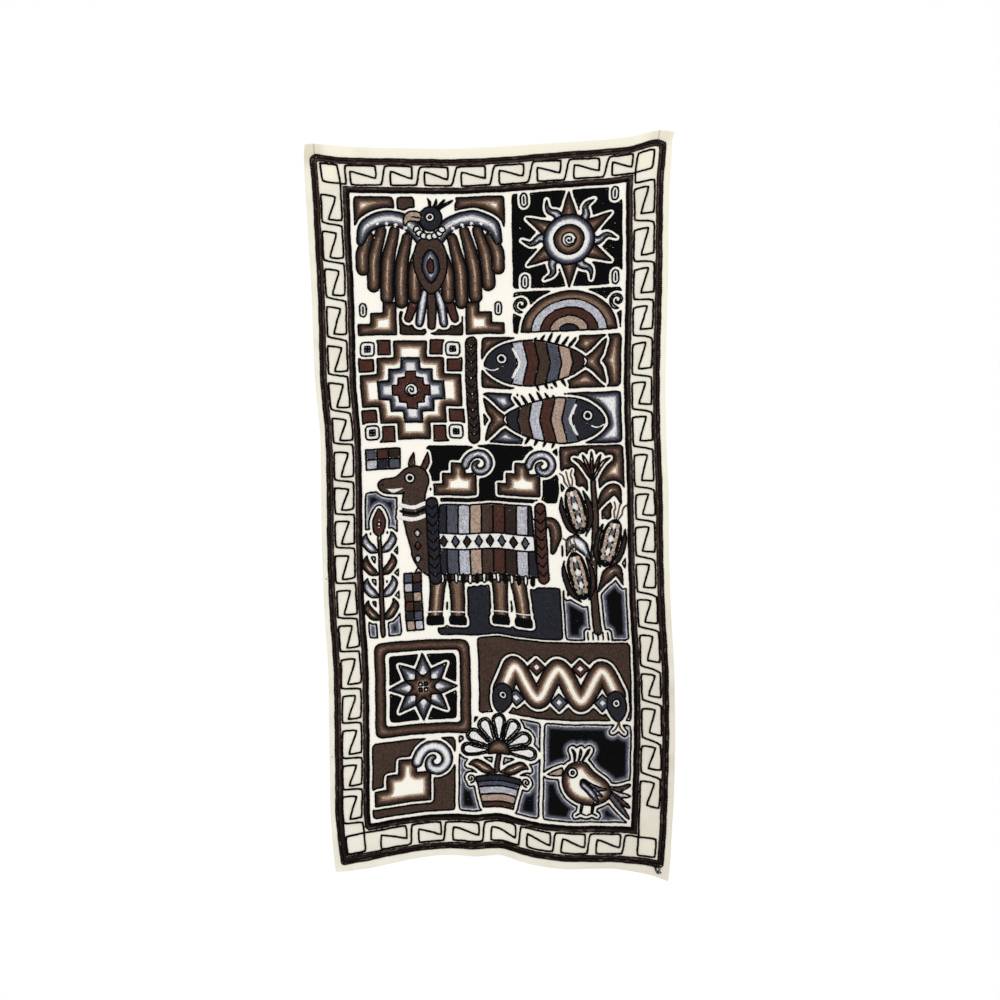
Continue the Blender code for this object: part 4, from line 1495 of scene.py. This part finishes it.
def makeGroundCloth():
    # one closed thin sheet: its front and its back, joined round the rounded edge of the hem
    width, length = hanging["width"] / mm, hanging["length"] / mm
    across, down = np.meshgrid(gridLines(width, cloth["step"]), gridLines(length, cloth["step"]))
    edge = np.minimum(np.minimum(across, width - across), np.minimum(down, length - down))
    hem, bandCover = (1 - np.clip((edge - start) / reach, 0, 1)
                      for start, reach in (cloth["hemEnd"], cloth["bandStart"]))
    hem = hem * hem * (3 - 2 * hem)
    roundness = np.sqrt(np.clip(1 - (1 - np.clip(edge / cloth["edgeRound"], 0, 1)) ** 2, 0, 1))
    front = cloth["front"] + (cloth["hemFront"] - cloth["front"]) * bandCover
    back = cloth["back"] + (cloth["hemBack"] - cloth["back"]) * hem
    middle = (front + back) / 2
    half = (front - back) / 2 * (cloth["edgeThick"] + (1 - cloth["edgeThick"]) * roundness)
    (rows, columns), count = across.shape, across.size
    faces, points = [], []
    for side, lift in ((0, middle + half), (1, middle - half)):
        points.append(onCloth(across.ravel() * mm, down.ravel() * mm, lift.ravel() * mm)[0])
        first = side * count
        corner = (np.arange(rows - 1)[:, None] * columns + np.arange(columns - 1)).ravel() + first
        quads = np.stack([corner, corner + columns, corner + columns + 1, corner + 1], axis=1)
        faces.append(quads if side == 0 else quads[:, ::-1])
    rim = list(range(columns)) + [(r + 1) * columns - 1 for r in range(1, rows)]
    rim += [rows * columns - 1 - c for c in range(1, columns)]
    rim += [r * columns for r in range(rows - 2, 0, -1)]
    rim, onward = np.array(rim), np.roll(rim, -1)
    faces.append(np.stack([rim, onward, onward + count, rim + count], axis=1))
    faces = np.vstack(faces)
    mesh = bpy.data.meshes.new("groundCloth")
    mesh.from_pydata(np.vstack(points).tolist(), [], faces.tolist())
    flat = np.stack([np.tile(across.ravel(), 2), np.tile(down.ravel(), 2)], axis=1) * mm
    layer = mesh.uv_layers.new(name="flatPlace")
    loops = np.empty(len(mesh.loops), int)
    mesh.loops.foreach_get("vertex_index", loops)
    layer.data.foreach_set("uv", flat[loops].ravel())
    for title, values in (("edgeDistance", np.tile(edge.ravel(), 2)),
                          ("frontSide", np.repeat([1.0, 0.0], count))):
        mesh.attributes.new(title, "FLOAT", "POINT").data.foreach_set("value", values)
    mesh.polygons.foreach_set("use_smooth", np.ones(len(faces), bool))
    mesh.update()
    return putIn(bpy.data.objects.new("groundCloth", mesh))


# Materials

wool = {
    "sheenRoughness": 0.55,
    "specular": 0.05,
    "roughness": (0.80, 0.15),
    # scale and detail of its fibres, its uneven dye and its heather
    "fibre": (2200.0, 3.0),
    "dye": (26.0, 2.0),
    "heather": (420.0, 1.0),
    # turns of the ply round and along a strand, and how far each stitch starts on
    "plyTurns": (2.0, 3.0, 3.0),
    "plyTone": 0.10,
    "fibreTone": 0.30,
    "fleckEnds": (0.66, 0.74),
    "plyRise": 0.6,
    "bump": (0.6, 0.00025),
    # darker towards the lower end, on the right first
    "lowerDarkSlant": 0.5,
    "lowerDarkEnds": (0.80, 1.05),
    # a pale sliver runs along one side of some stitches: where on the strand, on which of them, and from
    # which strength of dye on
    "sliverTurn": 7.0,
    "sliverEnds": (0.70, 0.92),
    "sliverPick": 13.0,
    "sliverPicked": (0.60, 0.70),
    "sliverDye": (0.004, 0.009),
}


def newMaterial(name, sheen, sheenRoughness, specular):
    # a matt surface; what is the same all over is set on the shader itself
    material = bpy.data.materials.new(name)
    material.use_nodes = True
    graph = Graph(material.node_tree)
    values = {"Metallic": 0.0, "Sheen Weight": sheen, "Sheen Roughness": sheenRoughness,
              "Specular IOR Level": specular}
    shader = graph.add("ShaderNodeBsdfPrincipled", {}, values)
    graph.add("ShaderNodeOutputMaterial", {}, {"Surface": shader})
    return material, graph, shader.node


def joinUp(graph, shader, colour, roughness, grain, height=None, bump=None):
    # roughness is a base and a share of the grain; bump is its strength and distance
    low, share = roughness
    sockets = {"Base Color": colour, "Roughness": low + share * grain}
    if height:
        strength, distance = bump
        sockets["Normal"] = graph.add("ShaderNodeBump", {}, {"Strength": strength, "Distance": distance,
                                                             "Height": height})
    for name, value in sockets.items():
        graph.tree.links.new(value.socket, shader.inputs[name])


def clothMaterial():
    material, graph, shader = newMaterial("creamWool", cloth["sheen"], cloth["sheenRoughness"],
                                          cloth["specular"])
    flat = graph.flatMap("flatPlace")
    across, down = flat.other("X") * 1000.0, flat.other("Y") * 1000.0
    edge, front = graph.stored("edgeDistance"), graph.stored("frontSide")
    wide, long = hanging["width"] / mm, hanging["length"] / mm
    shares = cloth["shares"]

    def zone(place, name, start=0.0):
        low, high = cloth["zones"][name]
        return graph.smooth(place, start + low, start + high)

    # plain weave: warp and weft pass over each other in turn
    rate, under = pi / cloth["weavePitch"], cloth["weaveUnder"]
    warp, weft = (graph.maths("ABSOLUTE", graph.maths("SINE", run * rate)) for run in (across, down))
    turn = graph.maths("SINE", across * rate + pi / 2) * graph.maths("SINE", down * rate + pi / 2)
    over = graph.smooth(turn, -cloth["weaveTurn"], cloth["weaveTurn"])
    weave = warp * (1.0 - under + under * over) + weft * (1.0 - under * over)
    warpSlubs, weftSlubs, mottle, fuzz = (
        graph.noise(graph.vector(across * aside, down * below, 0.0), 1.0, detail)
        for aside, below, detail in cloth["noises"])

    tone = graph.mixed(zone(mottle, "mottle"), linear(cloth["cream"]), linear(cloth["paleCream"]))
    # hem paler, most at the top and less on the left; field ground paler, plus painted light lifting it
    # against the yarn's shade; painted shade over the lower right
    inside = 1.0
    for place, side in ((across, "left"), (wide - across, "right"), (down, "top"), (long - down, "bottom")):
        inside = inside * zone(place, "hem", layout[side])
    leftHem = (1.0 - zone(across, "leftHem")) * zone(down, "leftHemDown")
    hem = (1.0 - inside) * (shares["hemTop"] - shares["hemDown"] * zone(down, "hemDown"))
    tone = graph.mixed(hem * (1.0 - shares["leftHem"] * leftHem), tone, linear(cloth["hemCream"]))
    tone = graph.mixed(zone(edge, "field") * shares["field"], tone, linear(cloth["fieldCreamAndLight"]))
    # painted shade darkens the lower right of the cloth
    paintedShade = zone(across, "shadeAcross") * zone(down, "shadeDown") * shares["paintedShade"]
    tone = graph.mixed(paintedShade, tone, linear(cloth["shadeCream"]))
    light, weaveTone, slubTone, fuzzTone = cloth["threadTone"]
    thread = light + weaveTone * weave + slubTone * (warpSlubs - 0.5) + slubTone * (weftSlubs - 0.5)
    thread = thread + fuzzTone * (fuzz - 0.5)
    tone = graph.mixed(1.0, tone, graph.vector(thread, thread, thread), "MULTIPLY")

    for x, y, radius, strength, colour in cloth["marks"]:
        away = graph.maths("SQRT", (across - x) ** 2.0 + (down - y) ** 2.0)
        away = away + cloth["markRagged"] * radius * (fuzz - 0.5)
        spread = 1.0 - graph.smooth(away, cloth["markCore"] * radius, radius)
        tone = graph.mixed(front * strength * spread, tone, linear(cloth[colour]))
    for x, half, strength in cloth["pencilLines"]:
        near = 1.0 - graph.smooth(graph.maths("ABSOLUTE", across - x), half, half + cloth["pencilBlur"])
        above = 1.0 - graph.smooth(down, *cloth["pencilEnd"])
        tone = graph.mixed(near * above * front * strength, tone, linear(cloth["pencil"]))

    weaveRise, slubRise, fuzzRise = cloth["rise"]
    height = weaveRise * weave + slubRise * warpSlubs + slubRise * weftSlubs + fuzzRise * fuzz
    joinUp(graph, shader, tone, cloth["roughness"], fuzz, height, cloth["bump"])
    return material


def yarnMaterial(name, look):
    # wool yarn: two plies, soft fibres and a tone of its own for each stitch
    material, graph, shader = newMaterial(name, look["sheen"], wool["sheenRoughness"], wool["specular"])
    dyed, stitch = graph.stored("yarnColour", "Color"), graph.stored("stitchTone")
    roll = graph.flatMap("strandPlace")
    onward, along, start = wool["plyTurns"]
    ply = roll.other("X") * onward + roll.other("Y") * along + stitch * start
    ply = graph.maths("SINE", ply * (2 * pi))
    place = graph.add("ShaderNodeTexCoord", {}, output="Object")
    fibre, dye, heather = (graph.noise(place, *wool[kind]) for kind in ("fibre", "dye", "heather"))
    light = 1.0 + look["tones"] * (stitch - 0.5) + wool["plyTone"] * ply + wool["fibreTone"] * (fibre - 0.5)
    light = light + look["dye"] * (dye - 0.5) + look["heather"] * (heather - 0.5)
    # darker towards the lower end, on the right first
    if "lowerDark" in look:
        spot = graph.add("ShaderNodeSeparateXYZ", {}, {0: place})
        low = graph.smooth(spot.other("X") * wool["lowerDarkSlant"] - spot.other("Z"), *wool["lowerDarkEnds"])
        light = light * (1.0 - look["lowerDark"] * low)
    tone = graph.mixed(1.0, dyed, graph.vector(light, light, light), "MULTIPLY")
    flecks = graph.smooth(fibre, *wool["fleckEnds"]) * look["flecks"]
    tone = graph.mixed(flecks, tone, linear(look["fleck"]))
    if "slivers" in look:
        aside = graph.maths("SINE", (roll.other("X") + stitch * wool["sliverTurn"]) * (2 * pi))
        chosen = graph.maths("FRACT", stitch * wool["sliverPick"])
        red = graph.add("ShaderNodeSeparateColor", {}, {0: dyed})
        sliver = graph.smooth(aside, *wool["sliverEnds"]) * graph.smooth(chosen, *wool["sliverPicked"])
        sliver = sliver * graph.smooth(red, *wool["sliverDye"])
        tone = graph.mixed(sliver * look["slivers"], tone, linear(look["sliver"]))
    joinUp(graph, shader, tone, wool["roughness"], fibre, wool["plyRise"] * ply + fibre, wool["bump"])
    return material


# How much the tone of the stitches, the dye and the heather varies, how much the flecks show and their
# colour, and the sheen
lineWool = {"tones": 0.35, "dye": 0.2, "heather": 0.9, "flecks": 0.06, "fleck": (120, 116, 118),
            "sheen": 0.01}
outlineWool = dict(lineWool, dye=0.3, flecks=0.08)
bandWool = dict(lineWool, tones=0.45, dye=0.6, flecks=0.20, fleck=(150, 132, 122), slivers=0.6,
                sliver=(128, 112, 104))
fillWool = {"tones": 0.30, "dye": 0.3, "heather": 1.5, "sheen": 0.03}
darkWool = dict(fillWool, tones=0.32, dye=0.4)

yarnLooks = {
    "outerBandRows": dict(bandWool, lowerDark=0.48),
    "innerBandRows": dict(bandWool, lowerDark=0.55),
    "edgeRow": lineWool,
    "looseEnds": lineWool,
    "keyLine": lineWool,
    "upperOutlines": outlineWool,
    "lowerOutlines": outlineWool,
    "blackRows": dict(outlineWool, fleck=(120, 116, 124)),
    "brownRows": dict(fillWool, flecks=0.12, fleck=(176, 150, 124)),
    "greyRows": dict(fillWool, flecks=0.14, fleck=(170, 170, 180)),
    "oliveRows": dict(darkWool, flecks=0.30, fleck=(150, 132, 110)),
    "russetRows": dict(darkWool, flecks=0.18, fleck=(150, 110, 96)),
    "sandRows": dict(fillWool, tones=0.22, dye=0.2, flecks=0.25, fleck=(96, 78, 68), sheen=0.12),
    "whiteRows": dict(fillWool, tones=0.12, dye=0.1, heather=0.4, flecks=0.0, fleck=(200, 200, 196),
                      sheen=0.12),
    "backStitches": dict(fillWool, heather=0.4, flecks=0.10, fleck=(170, 160, 150)),
}

tree = stitchTree()
fieldRows = [row._replace(points=row.points + fieldCorner) for row in drawField()]
print("field rows drawn:", len(fieldRows))
halfWay = hanging["length"] / mm / 2
innerStart = layout["outerBand"] + layout["keyLane"] + border["innerShift"]
outerRows = bandRows(0.0, layout["outerBand"], border["outerRows"], border["cornerCuts"],
                     border["cornerShifts"])
innerRows = bandRows(innerStart, layout["innerBand"] - border["innerTrim"], border["innerRows"],
                     border["innerCuts"], {})
blackRows = [row for row in fieldRows if row.yarn == "black"]
rowsFor = {
    "edgeRow": outerRows[:1] + [Row(bentLine(border["shortRow"], border["rowBend"]), "black", False)],
    "outerBandRows": outerRows[1:],
    "innerBandRows": innerRows,
    "keyLine": [keyLine()],
    "looseEnds": looseEnds(),
    "upperOutlines": [row for row in blackRows if row.points[:, 1].mean() < halfWay],
    "lowerOutlines": [row for row in blackRows if row.points[:, 1].mean() >= halfWay],
}
# the back shows a short running stitch under every row
rowsFor["backStitches"] = fieldRows + outerRows + innerRows + rowsFor["keyLine"]
groundCloth = makeGroundCloth()
groundCloth.data.materials.append(clothMaterial())
print("ground cloth made")

workedPieces = {}
for piece in sewnPieces:
    rows = rowsFor.get(piece.name) or [row for row in fieldRows if row.yarn in piece.yarns]
    workedPieces[piece.name] = sewn(piece, rows, tree, yarnMaterial(piece.name, yarnLooks[piece.name]))
print("rows sewn:", {name: len(piece.data.polygons) for name, piece in workedPieces.items()})


# Stage

stage = {
    "camera": (0.0197, -3.87, -0.5776),
    "lens": 85.0,
    "sensor": 36.0,
    "lookedAt": (0.0, 0.0, -0.6),
    "floorLevel": -1.75,
    "floorRadius": 1.5,
    "floorSides": 96,
    "floorTones": ((0.80, 0.80, 0.79, 1), (0.86, 0.86, 0.85, 1)),
    "floorGrain": (40.0, 4.0),
    "floorRoughness": (0.7, 0.1),
    "worldLight": 1.0,
    # place, size, power and warmth of each soft light
    "lights": [((-2.2, -2.6, 1.6), 2.4, 22.0, (1.0, 0.98, 0.95)),
               ((2.4, -2.8, 0.2), 2.4, 10.0, (0.96, 0.98, 1.0))],
}


def setStage():
    scene = bpy.context.scene
    camera = bpy.data.cameras.new("camera")
    camera.lens, camera.sensor_width = stage["lens"], stage["sensor"]
    eye = putIn(bpy.data.objects.new("camera", camera))
    eye.location = stage["camera"]
    eye.rotation_euler = (pi / 2, 0.0, 0.0)
    scene.camera = eye
    for k, (place, size, power, colour) in enumerate(stage["lights"]):
        lamp = bpy.data.lights.new(f"softLight{k}", "AREA")
        lamp.size, lamp.energy, lamp.color = size, power, colour
        holder = putIn(bpy.data.objects.new(lamp.name, lamp))
        holder.location = place
        way = Vector(stage["lookedAt"]) - holder.location
        holder.rotation_euler = way.to_track_quat("-Z", "Y").to_euler()
    world = bpy.data.worlds.new("paleWorld")
    scene.world = world
    world.use_nodes = True
    graph = Graph(world.node_tree)
    light = graph.add("ShaderNodeBackground", {},
                      {"Color": (1.0, 1.0, 1.0, 1.0), "Strength": stage["worldLight"]})
    graph.add("ShaderNodeOutputWorld", {}, {"Surface": light})
    scene.view_settings.view_transform = "Standard"

    circle = bmesh.new()
    bmesh.ops.create_circle(circle, cap_ends=True, segments=stage["floorSides"],
                            radius=stage["floorRadius"])
    mesh = bpy.data.meshes.new("floor")
    circle.to_mesh(mesh)
    circle.free()
    mesh.transform(Matrix.Translation((0.0, 0.0, stage["floorLevel"])))
    floor = putIn(bpy.data.objects.new("floor", mesh))
    material, graph, shader = newMaterial("paleFloor", 0.0, 0.5, 0.3)
    grain = graph.noise(graph.add("ShaderNodeTexCoord", {}, output="Object"), *stage["floorGrain"])
    joinUp(graph, shader, graph.mixed(grain, *stage["floorTones"]), stage["floorRoughness"], grain)
    mesh.materials.append(material)


setStage()

for piece in (groundCloth, *workedPieces.values()):
    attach(piece, "root")
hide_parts("cloth")
yarnNodes = [f"key_yarn_{side}" for side in ("left", "right", "top", "bottom")]
yarnNodes += [f"corner_yarn_{end}_{side}" for end in ("top", "bottom") for side in ("left", "right")]
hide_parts(*yarnNodes)
